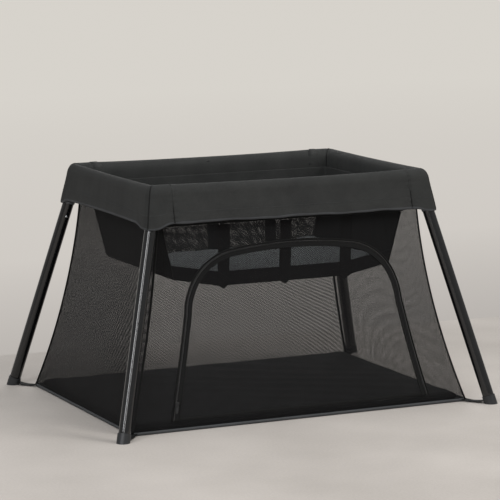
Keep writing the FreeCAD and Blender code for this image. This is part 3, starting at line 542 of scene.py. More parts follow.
def cover_points(low_x, high_x, side, rows_along, v_count=72):
    """A stretch of the cover between two X values on one long side, or round one end when side is 0. Each
    point is the section carried round the ring, with the sag of the crest, the flap over each leg and small
    pulls added."""
    if side:
        x = np.linspace(low_x, high_x, rows_along)
        outer = np.stack([x, np.full(rows_along, side * HEM_Y)], 1)
        inner = np.stack([x, np.full(rows_along, side * INNER_Y)], 1)
        way = np.stack([np.zeros(rows_along), np.full(rows_along, float(side))], 1)
    else:
        outer, way = ring(HEM_X, HEM_Y, CORNER_R, rows_along, CORNER_POINTS)
        inner, _ = ring(INNER_X, INNER_Y, LINING_R, rows_along, CORNER_POINTS)
        end = np.sign(low_x + high_x)
        keep = outer[:, 0] * end > SEAM_X
        order = np.argsort(np.arctan2(outer[keep, 1], outer[keep, 0] * end - (SEAM_X - 0.05)))
        outer, inner, way = outer[keep][order], inner[keep][order], way[keep][order]
        outer = np.vstack([(end * SEAM_X, -HEM_Y), outer, (end * SEAM_X, HEM_Y)])
        inner = np.vstack([(end * SEAM_X, -INNER_Y), inner, (end * SEAM_X, INNER_Y)])
        way = np.vstack([(0.0, -1.0), way, (0.0, 1.0)])
        gaps = np.linalg.norm(np.diff(outer, axis=0), axis=1)
        reach = np.concatenate([[0], np.cumsum(gaps)])
        at = np.unique(np.concatenate([np.arange(0, reach[-1], 4.5 * MM), reach]))
        outer, inner, way = (np.stack([np.interp(at, reach, part[:, k]) for k in range(2)], 1)
                             for part in (outer, inner, way))
    section = spline(np.column_stack([SECTION, np.zeros(len(SECTION))]), v_count)[:, :2]
    share, drop = section[None, :, 0], section[None, :, 1] * MM
    plan = outer[:, None] * (1 - share[..., None]) + inner[:, None] * share[..., None]
    x, y = plan[..., 0], plan[..., 1]
    top = CREST - crest_drop(outer[:, :1], outer[:, 1:2])
    flap = leg_flap(outer[:, :1], outer[:, 1:2])
    outside = np.clip(1 - share / 0.25, 0, 1)
    lift = hem_lift(outer[:, :1], outer[:, 1:2])
    height = (top - HEM_Z + flap * outside - lift * outside) / (CREST - HEM_Z)
    z = top - drop * height
    run = outer[:, :1] + outer[:, 1:2] * 1.3
    low = np.clip(drop / SECTION_DROP, 0, 1)
    pull = ripple((0.6 * MM, 0.31, 0.4), (0.4 * MM, 0.113, 1.9), (0.15 * MM, 0.047, 0.2))(run + 0.25 * drop)
    pull = pull * np.sin(np.pi * np.clip(low, 0.02, 1)) ** 0.7
    from_middle, on_long_side = np.abs(outer[:, :1]), np.abs(outer[:, 1:2]) > INNER_Y
    at_seam = bump(from_middle, SEAM_X, 9 * MM) * on_long_side
    gather = ripple((0.8 * MM, 0.0135, 0.3), (0.5 * MM, 0.021, 1.1))(z)
    gather = gather * bump(from_middle, SEAM_X, 16 * MM) * on_long_side
    puff = 0.8 * MM * np.sin(np.pi * low) ** 0.6
    swell = pull + gather + puff - 3.0 * MM * at_seam
    facing = np.cos(np.pi * np.clip(share + 0.02, 0, 1))
    x = x + way[:, :1] * facing * swell
    y = y + way[:, 1:2] * facing * swell
    z = z + (1 - np.abs(facing)) * (swell - puff) * 0.8
    return np.stack([x, y, z], -1), outer


def leg_flap(x, y):
    """How far the hem reaches down over each leg: a round tongue on the leg's line."""
    far = np.hypot((np.abs(x) - LEG_TOP[0]) / FLAP_R, (np.abs(y) - LEG_TOP[1]) / FLAP_R)
    return FLAP_DROP * np.exp(-far ** 4)


def hem_lift(x, y):
    """How the hem waves: a little higher at the left end, lower towards the right of the front."""
    front = np.exp(-((y + HEM_Y) / 0.05) ** 2)
    left = np.exp(-((x + HEM_X) / 0.04) ** 2)
    wave = 6.0 * np.clip(0.5 - x / 0.8, 0, 1) + ripple((1.1, 0.23, 0.6), (0.5, 0.09, 2.0))(x)
    side = 7.0 * np.clip(1 - (y / HEM_Y) ** 2, 0, 1) ** 0.6
    fade = np.clip((0.405 - np.abs(x)) / 0.055, 0, 1)
    return MM * (front * wave * fade ** 2 * (3 - 2 * fade) + left * side)


def stitches(name, path, out, length, gap, radius, material):
    """A row of stitches along a path: one short five-sided lozenge for each, thickest in its middle."""
    path = even(path, gap)
    ahead, side, above = frames_along(path, out)
    turn = np.linspace(0, 2 * np.pi, 5, endpoint=False)[:, None]
    shape = np.array([[-0.5, 0.35], [0.0, 1.0], [0.5, 0.35]])
    points = (path[:, None, None] + ahead[:, None, None] * shape[None, :, None, :1] * length
              + (side[:, None, None] * np.cos(turn) + above[:, None, None] * np.sin(turn))
              * shape[None, :, None, 1:] * radius)
    first = np.arange(len(path))[:, None, None] * 15
    faces = (np.array(grid_faces(3, 5, wrap_columns=True)) + first).reshape(-1, 4).tolist()
    faces += (np.array([[4, 3, 2, 1, 0], [10, 11, 12, 13, 14]]) + first).reshape(-1, 5).tolist()
    return outward(piece(name, points.reshape(-1, 3), faces, material))


def facing_out(made, cores, columns):
    """Turns a sheet's faces so that they look away from its rows' own middles."""
    faces = made.data.polygons
    centre, normal = np.zeros(len(faces) * 3), np.zeros(len(faces) * 3)
    faces.foreach_get("center", centre)
    faces.foreach_get("normal", normal)
    inside = np.repeat(cores[:-1], columns - 1, axis=0)
    if ((centre.reshape(-1, 3) - inside) * normal.reshape(-1, 3)).sum() < 0:
        made.data.flip_normals()


def seam_shade_cord(name, line):
    """A seam's groove drawn dark: a thin flat black cord sunk along a line of the cover's surface, from hem to hem
    over the crest, as painted shade."""
    line = even(line, 3 * MM)
    return carried(name, line, oval(3.6 * MM, 2.2 * MM, 10, 2.2), (0.02, 0.05, 1), BINDING)


def cover(side_name, side, end):
    """One of the cover's four lengths: its cloth, its folded hem and a row of stitches above the hem."""
    if side:
        points, _ = cover_points(-SEAM_X + 0.6 * MM, SEAM_X - 0.6 * MM, side, 190)
    else:
        points, _ = cover_points(end * SEAM_X, end * HEM_X, 0, 60)
    name = f"cover_{side_name}"
    cores = points.mean(axis=1)
    cores[:, 2] = HEM_Z + 50 * MM
    cloth = sheet_piece(f"{name}_cloth", points, HEATHER)
    facing_out(cloth, cores, points.shape[1])
    thickened(cloth, 2.2 * MM)
    outward_way = points[:, FACE_POINT] - cores
    outward_way[:, 2] = 0
    outward_way /= np.linalg.norm(outward_way, axis=1, keepdims=True)
    lip = points[:, HEM_POINT] + outward_way * 0.2 * MM + np.array([0, 0, 2.0 * MM])
    # The rolled hem takes the paler canvas, a painted highlight.
    rolled = carried(f"{name}_hem", lip, oval(3.2 * MM, 7.0 * MM, 12, 2.6), (0, 0, 1), LIT_HEM)
    row = points[:, STITCH_POINT] + outward_way * 0.3 * MM
    sewn = stitches(f"{name}_stitches", row, (0, 0, 1), 2.6 * MM, 3.6 * MM, 0.4 * MM, THREAD)
    return cloth, rolled, sewn


def end_seam(end, side, share):
    """A seam over an end cover: at its join with a long side when share is 0, round the corner at 1."""
    points, plan = cover_points(end * SEAM_X, end * HEM_X, 0, 60)
    corner = np.array([end * (HEM_X - CORNER_R * 0.3), side * (HEM_Y - CORNER_R * 0.3)])
    target = np.array([end * SEAM_X, side * HEM_Y]) * (1 - share) + corner * share
    row = int(np.argmin(np.linalg.norm(plan - target, axis=1)))
    return points[row, SEAM_START:]


for side_name, side in SIDES:
    cloth, rolled, sewn = cover(side_name, side, 0)
    rides(cloth, "left_end", "cover_cloth", f"cover_{side_name}", anchor=COVER_ANCHOR, keep=COVER_KEEP)
    for made in (rolled, sewn):
        rides(made, "left_end", "cover_cloth", anchor=COVER_ANCHOR, keep=COVER_KEEP)
for end_name, end in ENDS:
    cloth, rolled, sewn = cover(end_name, 0, end)
    rides(cloth, f"{end_name}_end", "cover_cloth", f"cover_{end_name}")
    for made in (rolled, sewn):
        rides(made, f"{end_name}_end", "cover_cloth")
    for side_name, side in SIDES:
        for index, share in enumerate((0.0, 1.0)):
            # Painted shade: a black cord darkens each seam's groove.
            sewn = seam_shade_cord(f"cover_seam_{side_name}_{end_name}_{index + 1}", end_seam(end, side, share))
            rides(sewn, f"{end_name}_end", "cover_cloth")

# ---------------------------------------------------------------- the walls

PULL = 16 * MM


def wall_place(along, z, side, long_wall=True, out=0.0):
    """A point of a wall. The wall leans from the floor's edge to the rail; between them its corners draw in
    by PULL, as a parabola over the height, and its middle by a fifth of that."""
    t = np.clip((z - WALL_FOOT) / (WALL_TOP - WALL_FOOT), 0, 1)
    foot_along, top_along = (WALL_FOOT_X, WALL_TOP_X) if long_wall else (WALL_FOOT_Y, WALL_TOP_Y)
    foot_out, top_out = (WALL_FOOT_Y, WALL_TOP_Y) if long_wall else (WALL_FOOT_X, WALL_TOP_X)
    edge = foot_along + (top_along - foot_along) * t
    s = along / edge
    draw = PULL * 4 * t * (1 - t)
    a = along - draw * np.sign(s) * np.abs(s) ** 3
    b = foot_out + (top_out - foot_out) * t - draw * (0.2 + 0.8 * np.abs(s) ** 3) + out
    b = b + 0.7 * MM * np.sin(along / 0.055 + 9 * z) * 4 * t * (1 - t)
    return np.stack([a, side * b, z] if long_wall else [side * b, a, z], -1)


def wall_edge(z, long_wall=True):
    """Half the flat width of a wall at a height."""
    t = (z - WALL_FOOT) / (WALL_TOP - WALL_FOOT)
    foot, top = (WALL_FOOT_X, WALL_TOP_X) if long_wall else (WALL_FOOT_Y, WALL_TOP_Y)
    return foot + (top - foot) * t


def arc(first, middle, last, count):
    """Points on the circle through three points, from the first to the last."""
    (ax, ay), (bx, by), (cx, cy) = first, middle, last
    d = 2 * (ax * (by - cy) + bx * (cy - ay) + cx * (ay - by))
    ux = ((ax ** 2 + ay ** 2) * (by - cy) + (bx ** 2 + by ** 2) * (cy - ay)
          + (cx ** 2 + cy ** 2) * (ay - by)) / d
    uy = ((ax ** 2 + ay ** 2) * (cx - bx) + (bx ** 2 + by ** 2) * (ax - cx)
          + (cx ** 2 + cy ** 2) * (bx - ax)) / d
    turn = np.unwrap([math.atan2(y - uy, x - ux) for x, y in (first, middle, last)])
    at = np.linspace(turn[0], turn[2], count)
    return np.stack([ux + math.hypot(ax - ux, ay - uy) * np.cos(at),
                     uy + math.hypot(ax - ux, ay - uy) * np.sin(at)], 1)


SILL = 28.4 * MM
SIDE, BEND, BROW, CROWN = (0.322, 0.300), (0.284, 0.397), (0.180, 0.457), (0.0, 0.470)
FOOT = (0.378, SILL)


def arch(inset=0.0, step=5 * MM):
    """The door's outline from its left foot over the crown to its right foot, as (along, height), moved
    inwards."""
    left = [(-x, z) for x, z in (FOOT, SIDE, BEND, BROW)]
    line = np.linspace(left[0], left[1], 50)
    half = np.vstack([line, arc(left[1], left[2], left[3], 50)[1:]])
    top = arc(left[3], CROWN, BROW, 60)[1:-1]
    whole = np.vstack([half, top, (half * (-1, 1))[::-1]])
    whole = even(np.column_stack([whole, np.zeros(len(whole))]), step)[:, :2]
    ahead = np.gradient(whole, axis=0)
    ahead /= np.linalg.norm(ahead, axis=1, keepdims=True)
    inwards = np.stack([ahead[:, 1], -ahead[:, 0]], 1)
    for _ in range(6):
        inwards[1:-1] = (inwards[:-2] + 2 * inwards[1:-1] + inwards[2:]) / 4
    return whole + inwards * inset


def between(first, second, rows):
    """A grid of rows from one line of points to another."""
    share = np.linspace(0, 1, rows)[:, None, None]
    return first[None] * (1 - share) + second[None] * share


def resampled(path, count):
    """A flat path with a given number of points, evenly spaced, its sharpest corners kept."""
    reach = np.concatenate([[0], np.cumsum(np.linalg.norm(np.diff(path, axis=0), axis=1))])
    at = np.linspace(0, reach[-1], count)
    for corner in reach[1:-1]:
        at[np.argmin(np.abs(at - corner))] = corner
    return np.stack([np.interp(at, reach, path[:, 0]), np.interp(at, reach, path[:, 1])], 1)


def front_net():
    """The front wall's netting round the door: rows from the arch out to the wall's edge, then the strip
    under the sill."""
    inner = arch(0)
    count = len(inner)
    split = int(np.argmin(np.abs(inner[:count // 2, 1] - SIDE[1])))
    low, high = WALL_FOOT, WALL_TOP
    foot_edge, side_edge, top_edge = wall_edge(low), wall_edge(SIDE[1]), wall_edge(high)
    left = resampled(np.array([(-FOOT[0], low), (-foot_edge, low), (-side_edge, SIDE[1])]), split + 1)
    over = resampled(np.array([(-side_edge, SIDE[1]), (-top_edge, high), (top_edge, high),
                               (side_edge, SIDE[1])]),
                     count - 2 * split)
    outer = np.vstack([left, over[1:-1], (left * (-1, 1))[::-1]])
    flat = between(inner, outer, 16)
    across = np.linspace(-FOOT[0], FOOT[0], 120)
    strip = between(np.column_stack([across, np.full(120, low)]),
                    np.column_stack([across, np.full(120, SILL)]), 4)
    points, faces = [], []
    for patch in (flat, strip):
        faces += grid_faces(*patch.shape[:2], start=sum(len(p) for p in points))
        points.append(wall_place(patch[..., 0], patch[..., 1], -1).reshape(-1, 3))
    return piece("wall_front_net", np.vstack(points), faces, WALL_NET)


def door_net():
    """The door's netting: rings from the arch to the middle of its foot, closed there by triangles."""
    rim = arch(0.6 * MM)
    count = len(rim)
    centre = np.array([0.0, SILL])
    rings = 24
    share = np.linspace(0, 1, rings + 1)[1:][::-1, None, None]
    flat = centre + (rim[None] - centre) * share
    points = np.vstack([flat.reshape(-1, 2), centre[None]])
    faces = grid_faces(rings, count)
    last = (rings - 1) * count
    faces += [[last + i, last + i + 1, rings * count] for i in range(count - 1)]
    return piece("door_net", wall_place(points[:, 0], points[:, 1], -1), faces, WALL_NET)


def plain_net(name, side, long_wall, material):
    """A whole wall of netting, from the floor to the rail."""
    s, t = np.meshgrid(np.linspace(-1, 1, 90), np.linspace(0, 1, 48))
    z = WALL_FOOT + (WALL_TOP - WALL_FOOT) * t
    return sheet_piece(name, wall_place(s * wall_edge(z, long_wall), z, side, long_wall), material)


def outside(made, towards):
    """Turns a flat-lying sheet so that its faces look along a direction."""
    normal = np.zeros(len(made.data.polygons) * 3)
    made.data.polygons.foreach_get("normal", normal)
    if (normal.reshape(-1, 3) @ np.asarray(towards, float)).sum() < 0:
        made.data.flip_normals()
    return made


DOOR_RIM = np.vstack([arch(0), arch(0)[:1]])

wall_front = outside(front_net(), (0, -1, 0))
closes(wall_front, "mesh_cloth", "wall_front")
wall_back = outside(plain_net("wall_back_net", 1, True, BACK_NET), (0, 1, 0))
closes(wall_back, "mesh_cloth", "wall_back")
for end_name, end in ENDS:
    wall_end = plain_net(f"wall_{end_name}_net", end, False, BACK_NET if end > 0 else CLOSE_NET)
    closes(outside(wall_end, (end, 0, 0)), "mesh_cloth", f"wall_{end_name}")

door = outside(door_net(), (0, -1, 0))
closes(door, "mesh_cloth", "door_panel", body="door")

corner_z = np.linspace(WALL_FOOT, WALL_TOP - 4 * MM, 60)
for side_name, side in SIDES:
    for end_name, end in ENDS:
        edge_line = wall_place(end * wall_edge(corner_z), corner_z, side, out=0.6 * MM)
        edge_line[:, 0] += end * 0.6 * MM
        tape = carried(f"wall_binding_{side_name}_{end_name}", edge_line, oval(7.0 * MM, 4.2 * MM, 14, 2.4),
                       (end, side, 0), BINDING)
        closes(tape, "webbing")

# ---------------------------------------------------------------- the door's zip


def on_arch(inset, out, step=4 * MM):
    """The arch as a line on the front wall's outer face, with the wall's outward direction at each point."""
    flat = arch(inset, step)
    line = wall_place(flat[:, 0], flat[:, 1], -1, out=out)
    right = wall_place(flat[:, 0] + MM, flat[:, 1], -1, out=out) - line
    above = wall_place(flat[:, 0], np.minimum(flat[:, 1] + MM, WALL_TOP), -1, out=out) - line
    normal = np.cross(right, above)
    return line, normal / np.linalg.norm(normal, axis=1, keepdims=True)


def ribbon(name, outer, inner, thickness, out, material):
    """A flat tape between two insets of the arch: an oval section carried along the middle of the two."""
    line, normal = on_arch((outer + inner) / 2, out)
    return carried(name, line, oval(inner - outer, thickness, 18, 5.0), normal, material)


def coil(name, inset, out, material):
    """The zip's coil: a round cord whose radius rises and falls once for each turn of the coil, 2.4 mm
    apart."""
    line, normal = on_arch(inset, out, 0.6 * MM)
    _, side, above = frames_along(line, normal)
    turn = np.linspace(0, 2 * np.pi, 8, endpoint=False)
    radius = (1.9 + 0.4 * np.sin(np.arange(len(line)) * 0.6 / 2.4 * 2 * np.pi)) * MM
    points = line[:, None] + radius[:, None, None] * (np.cos(turn)[None, :, None] * side[:, None]
                                                      + np.sin(turn)[None, :, None] * above[:, None] * 0.8)
    return capped(name, points, material)


wall_tape = ribbon("zip_wall_tape", -9.4 * MM, -5.2 * MM, 1.3 * MM, 1.1 * MM, ZIP_TAPE)
wall_edge_cord = ribbon("zip_wall_piping", -11.6 * MM, -7.4 * MM, 3.2 * MM, 1.6 * MM, BINDING)
zip_coil = coil("zip_coil", -4.4 * MM, 2.2 * MM, COIL)
closes(wall_tape, "zip_tape", "zip_tape")
for made in (wall_edge_cord, zip_coil):
    closes(made, "zip_tape")
door_tape = ribbon("zip_door_tape", -3.0 * MM, 10 * MM, 1.3 * MM, 1.1 * MM, ZIP_TAPE)
door_cord = ribbon("zip_door_piping", 8.8 * MM, 11.2 * MM, 2.4 * MM, 1.5 * MM, BINDING)
sill_u = np.linspace(-FOOT[0] + 12 * MM, FOOT[0] - 12 * MM, 120)
sill_line = wall_place(sill_u, np.full(120, SILL + 4 * MM), -1, out=0.9 * MM)
sill = carried("door_sill_binding", sill_line, oval(9 * MM, 1.6 * MM, 14, 3.5), (0, -1, 0.15), BINDING)
for made in (door_tape, door_cord, sill):
    closes(made, "zip_tape", body="door")

ALONG = np.array(JOINTS["zip_run"]["axis"], float)
ACROSS = np.array(JOINTS["pull_flip"]["axis"], float)
ACROSS = -ACROSS if ACROSS[0] < 0 else ACROSS
OUT = np.cross(ALONG, ACROSS)
OUT = OUT if OUT[1] < 0 else -OUT
SLIDER_AT = sum(span("zip_slider")) / 2
PULL_AT = sum(span("zip_pull")) / 2


def slider_body():
    """The slider: squared ovals stacked along the zip, wider at its nose, thin at its waist."""
    at = np.array([-8, -7.6, -6.4, -3, 0, 3, 6.4, 7.6, 8]) * MM
    half = np.array([2.4, 3.2, 3.9, 4.0, 3.9, 4.5, 5.0, 4.5, 3.4]) * MM
    high = np.array([1.2, 1.9, 2.3, 2.4, 2.2, 2.4, 2.5, 2.1, 1.3]) * MM
    section = oval(2.0, 2.0, 20, 3.6)
    points = (SLIDER_AT + at[:, None, None] * ALONG + (section[None, :, :1] * half[:, None, None]) * ACROSS
              + (section[None, :, 1:] * high[:, None, None]) * OUT)
    return capped("zip_slider_body", points, DIE_CAST)


def slider_bridge():
    """The bridge over the slider that the pull hangs from: a half hoop."""
    turn = np.linspace(0, np.pi, 18)[:, None]
    hoop = SLIDER_AT + ALONG * (3.0 * MM + np.cos(turn) * 3.6 * MM) + OUT * (1.6 * MM
                                                                             + np.sin(turn) * 3.0 * MM)
    return carried("zip_slider_bridge", hoop, oval(2.4 * MM, 1.2 * MM, 12, 3), ACROSS, DIE_CAST)


def pull_tab():
    """The pull: a closed loop, long and round-ended, bent from flat bar, with a ribbed grip set in it."""
    turn = np.linspace(0, 2 * np.pi, 64, endpoint=False)
    c, s = np.cos(turn), np.sin(turn)
    x = np.sign(c) * np.abs(c) ** 0.7 * 2.7 * MM
    y = np.sign(s) * np.abs(s) ** 0.55 * 12.2 * MM
    loop = PULL_AT + x[:, None] * ACROSS + y[:, None] * ALONG
    return carried("zip_pull_loop", loop, oval(1.5 * MM, 2.0 * MM, 12, 2.6), OUT, DIE_CAST, closed=True)


def pull_grip():
    """The grip moulded on the pull's lower half: a squared oval bar with five ribs across it."""
    at = np.linspace(-11.0, 3.0, 57) * MM
    rib = 1 + 0.16 * np.sin((at - at[0]) / (14 * MM) * 5 * 2 * np.pi)
    ends = np.clip(np.minimum(at - at[0], at[-1] - at) / (1.2 * MM), 0.15, 1) ** 0.5
    section = oval(4.2 * MM, 2.0 * MM, 20, 3.2)
    points = (PULL_AT + at[:, None, None] * ALONG + section[None, :, :1] * ends[:, None, None] * ACROSS
              + section[None, :, 1:] * (ends * rib)[:, None, None] * OUT)
    return capped("zip_pull_grip", points, NYLON)


closes(slider_body(), "zip_metal", "zip_slider", body="zip_slider_body")
closes(slider_bridge(), "zip_metal", body="zip_slider_body")
closes(pull_tab(), "zip_metal", "zip_pull", body="zip_pull_body")
closes(pull_grip(), "zip_metal", body="zip_pull_body")

# ---------------------------------------------------------------- stuffed pieces


def rounded_plan(half_x, half_y, corner, spacing, edge):
    """A grid over a rectangle with round corners, closer together within an edge's width of the border.
    Corner squares are mapped to quarter discs. Gives the points and their distance from the border."""

    def stations(half):
        inner = np.linspace(-(half - edge), half - edge, max(3, int(2 * (half - edge) / spacing)))
        rim = half - edge * (1 - np.sin(np.linspace(0, np.pi / 2, 7))[1:])
        return np.concatenate([-rim[::-1], inner, rim])

    x, y = np.meshgrid(stations(half_x), stations(half_y), indexing="ij")
    a = np.clip((np.abs(x) - (half_x - corner)) / corner, 0, None)
    b = np.clip((np.abs(y) - (half_y - corner)) / corner, 0, None)
    both = (a > 0) & (b > 0)
    px = np.where(both, np.sign(x) * (half_x - corner + corner * a * np.sqrt(1 - b ** 2 / 2)), x)
    py = np.where(both, np.sign(y) * (half_y - corner + corner * b * np.sqrt(1 - a ** 2 / 2)), y)
    qx, qy = np.abs(px) - (half_x - corner), np.abs(py) - (half_y - corner)
    inside = corner - np.hypot(np.maximum(qx, 0), np.maximum(qy, 0)) - np.minimum(np.maximum(qx, qy), 0)
    return px, py, np.maximum(inside, 0)


def stuffed(name, half_x, half_y, corner, low, high, edge, spacing, material, top=None):
    """A flat pad: over the plan, its top and its bottom each rise from the border to full thickness along a
    quarter of an ellipse as wide as the edge; top adds a height of its own."""
    x, y, inside = rounded_plan(half_x, half_y, corner, spacing, edge)
    rise = np.sqrt(1 - (1 - np.clip(inside / edge, 0, 1)) ** 2)
    middle, half = (low + high) / 2, (high - low) / 2
    upper = middle + half * rise + (top(x, y) * rise if top is not None else 0)
    lower = middle - half * rise
    rows, columns = x.shape
    points = np.concatenate([np.stack([x, y, upper], -1).reshape(-1, 3),
                             np.stack([x, y, lower], -1).reshape(-1, 3)])
    faces = grid_faces(rows, columns) + grid_faces(rows, columns, start=rows * columns, flip=True)
    return outward(piece(name, points, faces, material))


def filled(made, pressure, cap, low, frames=20):
    """Blows a closed pad up as cloth, without gravity, for a few steps, keeps each point within cap of
    where it was and above the surface it lies on, and leaves plain mesh."""
    start = points_of(made.data)
    cloth = made.modifiers.new("cloth", "CLOTH")
    cloth.settings.use_pressure = True
    cloth.settings.uniform_pressure_force = pressure
    cloth.settings.quality = 4
    cloth.settings.tension_stiffness = cloth.settings.compression_stiffness = 12
    cloth.settings.bending_stiffness = 0.4
    cloth.settings.shrink_min = -0.012
    cloth.settings.effector_weights.gravity = 0
    cloth.collision_settings.use_collision = False
    cloth.point_cache.frame_start, cloth.point_cache.frame_end = 1, frames
    scene = bpy.context.scene
    for frame_at in range(1, frames + 1):
        scene.frame_set(frame_at)
    view = made.evaluated_get(bpy.context.evaluated_depsgraph_get())
    step = points_of(view.data) - start
    made.modifiers.clear()
    scene.frame_set(1)
    far = np.linalg.norm(step, axis=1, keepdims=True)
    step = step * np.minimum(1, cap / np.maximum(far, 1e-9))
    ended = start + step
    ended[:, 2] = np.maximum(ended[:, 2], low)
    move_points(made, ended)
    return made


def creases(x, y):
    """Shallow creases of cloth laid over foam: long slanting waves that fade in and out, in metres."""
    fade = 0.5 + 0.5 * np.sin(5.1 * x + 3.3 * y + 0.7)
    first = 0.7 * np.sin(38 * x + 55 * y + 1.5 * np.sin(9 * y))
    second = 0.5 * np.sin(71 * x - 33 * y + 2.0 * np.sin(13 * x))
    return MM * (first * fade + second * (1 - fade))


mattress = stuffed("play_mattress_pad", MAT_HIGH[0] - 1 * MM, MAT_HIGH[1] - 1 * MM, 14 * MM,
                   MAT_LOW[2], MAT_HIGH[2] - 2 * MM, 9 * MM, 11 * MM, OXFORD, creases)
filled(mattress, 2.0, 4 * MM, MAT_LOW[2])
closes(mattress, "floor_cloth", "play_mattress")

floor = stuffed("floor_sheet_cloth", FLOOR_HIGH[0], FLOOR_HIGH[1], 8 * MM,
                FLOOR_LOW[2], FLOOR_HIGH[2], 1.5 * MM, 20 * MM, OXFORD)
closes(floor, "floor_cloth", "floor_sheet")
floor_ring, _ = ring(FLOOR_HIGH[0] + 0.5 * MM, FLOOR_HIGH[1] + 0.5 * MM, 9 * MM, 60, 9)
floor_line = np.column_stack([floor_ring, np.full(len(floor_ring), 5.2 * MM)])
piping = carried("floor_piping", floor_line, oval(5.6 * MM, 7.6 * MM, 14, 2.2), (0, 0, 1), PIPING,
                 closed=True)
closes(piping, "floor_cloth")

for side_name, side in SIDES:
    for end_name, end in ENDS:
        foot_low, foot_high = span(f"foot_cap_{side_name}_{end_name}")
        foot = (foot_low + foot_high) / 2
        foot[2] = 0
        corner = np.array([end * (FLOOR_HIGH[0] - 4 * MM), side * (FLOOR_HIGH[1] - 4 * MM), 0])
        way = (foot - corner) / np.linalg.norm(foot - corner)
        reach = np.linalg.norm(foot - corner) - 15 * MM
        at = np.linspace(0, reach, 26)[:, None]
        height = 7.4 * MM - 4.2 * MM * np.sin(np.pi * at / reach) ** 0.8
        line = corner + way * at + height * np.array([0, 0, 1])
        strap = carried(f"corner_strap_{side_name}_{end_name}", line, oval(24 * MM, 1.7 * MM, 20, 6),
                        (0, 0, 1), WEBBING)
        closes(strap, "webbing", "corner_straps")

# ---------------------------------------------------------------- the bassinet

RIM_X, RIM_Y, RIM_Z, PANEL_TOP = RIM_HIGH[0], RIM_HIGH[1], RIM_HIGH[2], RIM_LOW[2] - 2 * MM
COT_FOOT_X, COT_FOOT_Y = RIM_X - 52 * MM, RIM_Y - 13.5 * MM
END_Z, FLAT_Z, FLAT_X = RIM_Z - 214 * MM, RIM_Z - 240 * MM, 190 * MM
BAND = {-1: 38 * MM, 1: 18 * MM}
WEBS = (-178 * MM, 6 * MM, 190 * MM)


def cot_y(z):
    """Half the bassinet's width at a height."""
    return COT_FOOT_Y + (z - FLAT_Z) / (RIM_Z - FLAT_Z) * (RIM_Y - COT_FOOT_Y)


def cot_x(z):
    """Half the bassinet's length at a height."""
    return COT_FOOT_X + (z - END_Z) / (RIM_Z - END_Z) * (RIM_X - COT_FOOT_X)


def cot_foot(x):
    """Height of the bassinet's bottom along its length: flat in the middle, rising to both ends."""
    return FLAT_Z + np.clip((np.abs(x) - FLAT_X) / (COT_FOOT_X - FLAT_X), 0, None) * (END_Z - FLAT_Z)


def rides_bassinet(made, slot, *nodes):
    """A piece of the bassinet: it lifts with it, with a mesh of its own."""
    return rides(made, "bassinet", slot, *nodes, anchor=COT_ANCHOR, keep=COT_KEEP)


def cut_sheet(made):
    """Works out a sheet of the bassinet's flat length and height, those of its outline, and its faces' areas, and
    does nothing more with them."""
    reach = np.sort(np.ptp(points_of(made.data), axis=0))[1:]
    areas = np.zeros(len(made.data.polygons))
    made.data.polygons.foreach_get("area", areas)


def cot_side(name, side, low_lift, high, material, columns, rows, fold=0.0, out=0.0):
    """A strip of a side, its folds running up and down it: from a height above the foot line up to a level,
    or, when high is below zero, up by that much."""
    s, t = np.meshgrid(np.linspace(-1, 1, columns), np.linspace(0, 1, rows))
    foot_x = s * cot_x(END_Z + low_lift)
    low = cot_foot(foot_x * COT_FOOT_X / cot_x(END_Z + low_lift)) + low_lift
    top = high if high > 0 else low - high
    z = low + (top - low) * t
    x = s * cot_x(np.maximum(z, END_Z))
    waves = np.sin(x / 0.0062 + 3 * np.sin(x / 0.05) + 4 * z) + 0.6 * np.sin(x / 0.0113 + 1.1)
    waves = fold * waves * np.sin(np.pi * t) ** 0.5
    y = side * (cot_y(z) + out + waves - 1.5 * MM * np.sin(np.pi * t))
    return outside(sheet_piece(name, np.stack([x, y, z], -1), material), (0, side, 0))


for side_name, side in SIDES:
    net = cot_side(f"bassinet_net_{side_name}", side, BAND[side] - 3 * MM, PANEL_TOP, COT_NET, 260, 26,
                   fold=0.9 * MM)
    rides_bassinet(net, "mesh_cloth", "bassinet_mesh")
    cut_sheet(net)
    band = cot_side(f"bassinet_band_{side_name}", side, 0.0, -BAND[side], PANEL, 160, 10,
                    fold=0.25 * MM, out=0.5 * MM)
    rides_bassinet(thickened(band, 1.6 * MM), "bassinet_cloth", "bassinet_base")
    cut_sheet(band)

for end_name, end in ENDS:
    s, t = np.meshgrid(np.linspace(-1, 1, 60), np.linspace(0, 1, 40))
    z = END_Z + (PANEL_TOP - END_Z) * t
    hollow = 5 * MM * np.sin(np.pi * t) * (1 - s ** 2)
    waves = 0.8 * MM * np.sin(9 * s + 5 * t + 2 * np.sin(4 * t)) * np.sin(np.pi * t) * (1 - s ** 4)
    panel = np.stack([end * (cot_x(z) - hollow + waves), s * (cot_y(z) - 0.6 * MM), z], -1)
    panel = outside(sheet_piece(f"bassinet_end_{end_name}", panel, PANEL), (end, 0, 0))
    rides_bassinet(thickened(panel, 1.6 * MM), "bassinet_cloth", "bassinet_ends")
    cut_sheet(panel)
    for side_name, side in SIDES:
        rise = np.linspace(END_Z, PANEL_TOP, 40)
        corner_line = np.stack([end * cot_x(rise), side * cot_y(rise), rise], -1)
        tape = carried(f"bassinet_seam_{side_name}_{end_name}", corner_line,
                       oval(4.6 * MM, 4.6 * MM, 12, 2.2),
                       (end, side, 0), BINDING)
        rides_bassinet(tape, "webbing")

bottom_x, bottom_y = np.meshgrid(np.linspace(-1, 1, 90) * (COT_FOOT_X - 1 * MM),
                                 np.linspace(-1, 1, 40) * (COT_FOOT_Y - 1 * MM))
under = np.stack([bottom_x, bottom_y, cot_foot(bottom_x) + 1.2 * MM], -1)
under = outside(sheet_piece("bassinet_bottom", under, PANEL), (0, 0, -1))
rides_bassinet(thickened(under, 1.4 * MM, 1.0), "bassinet_cloth")
cut_sheet(under)

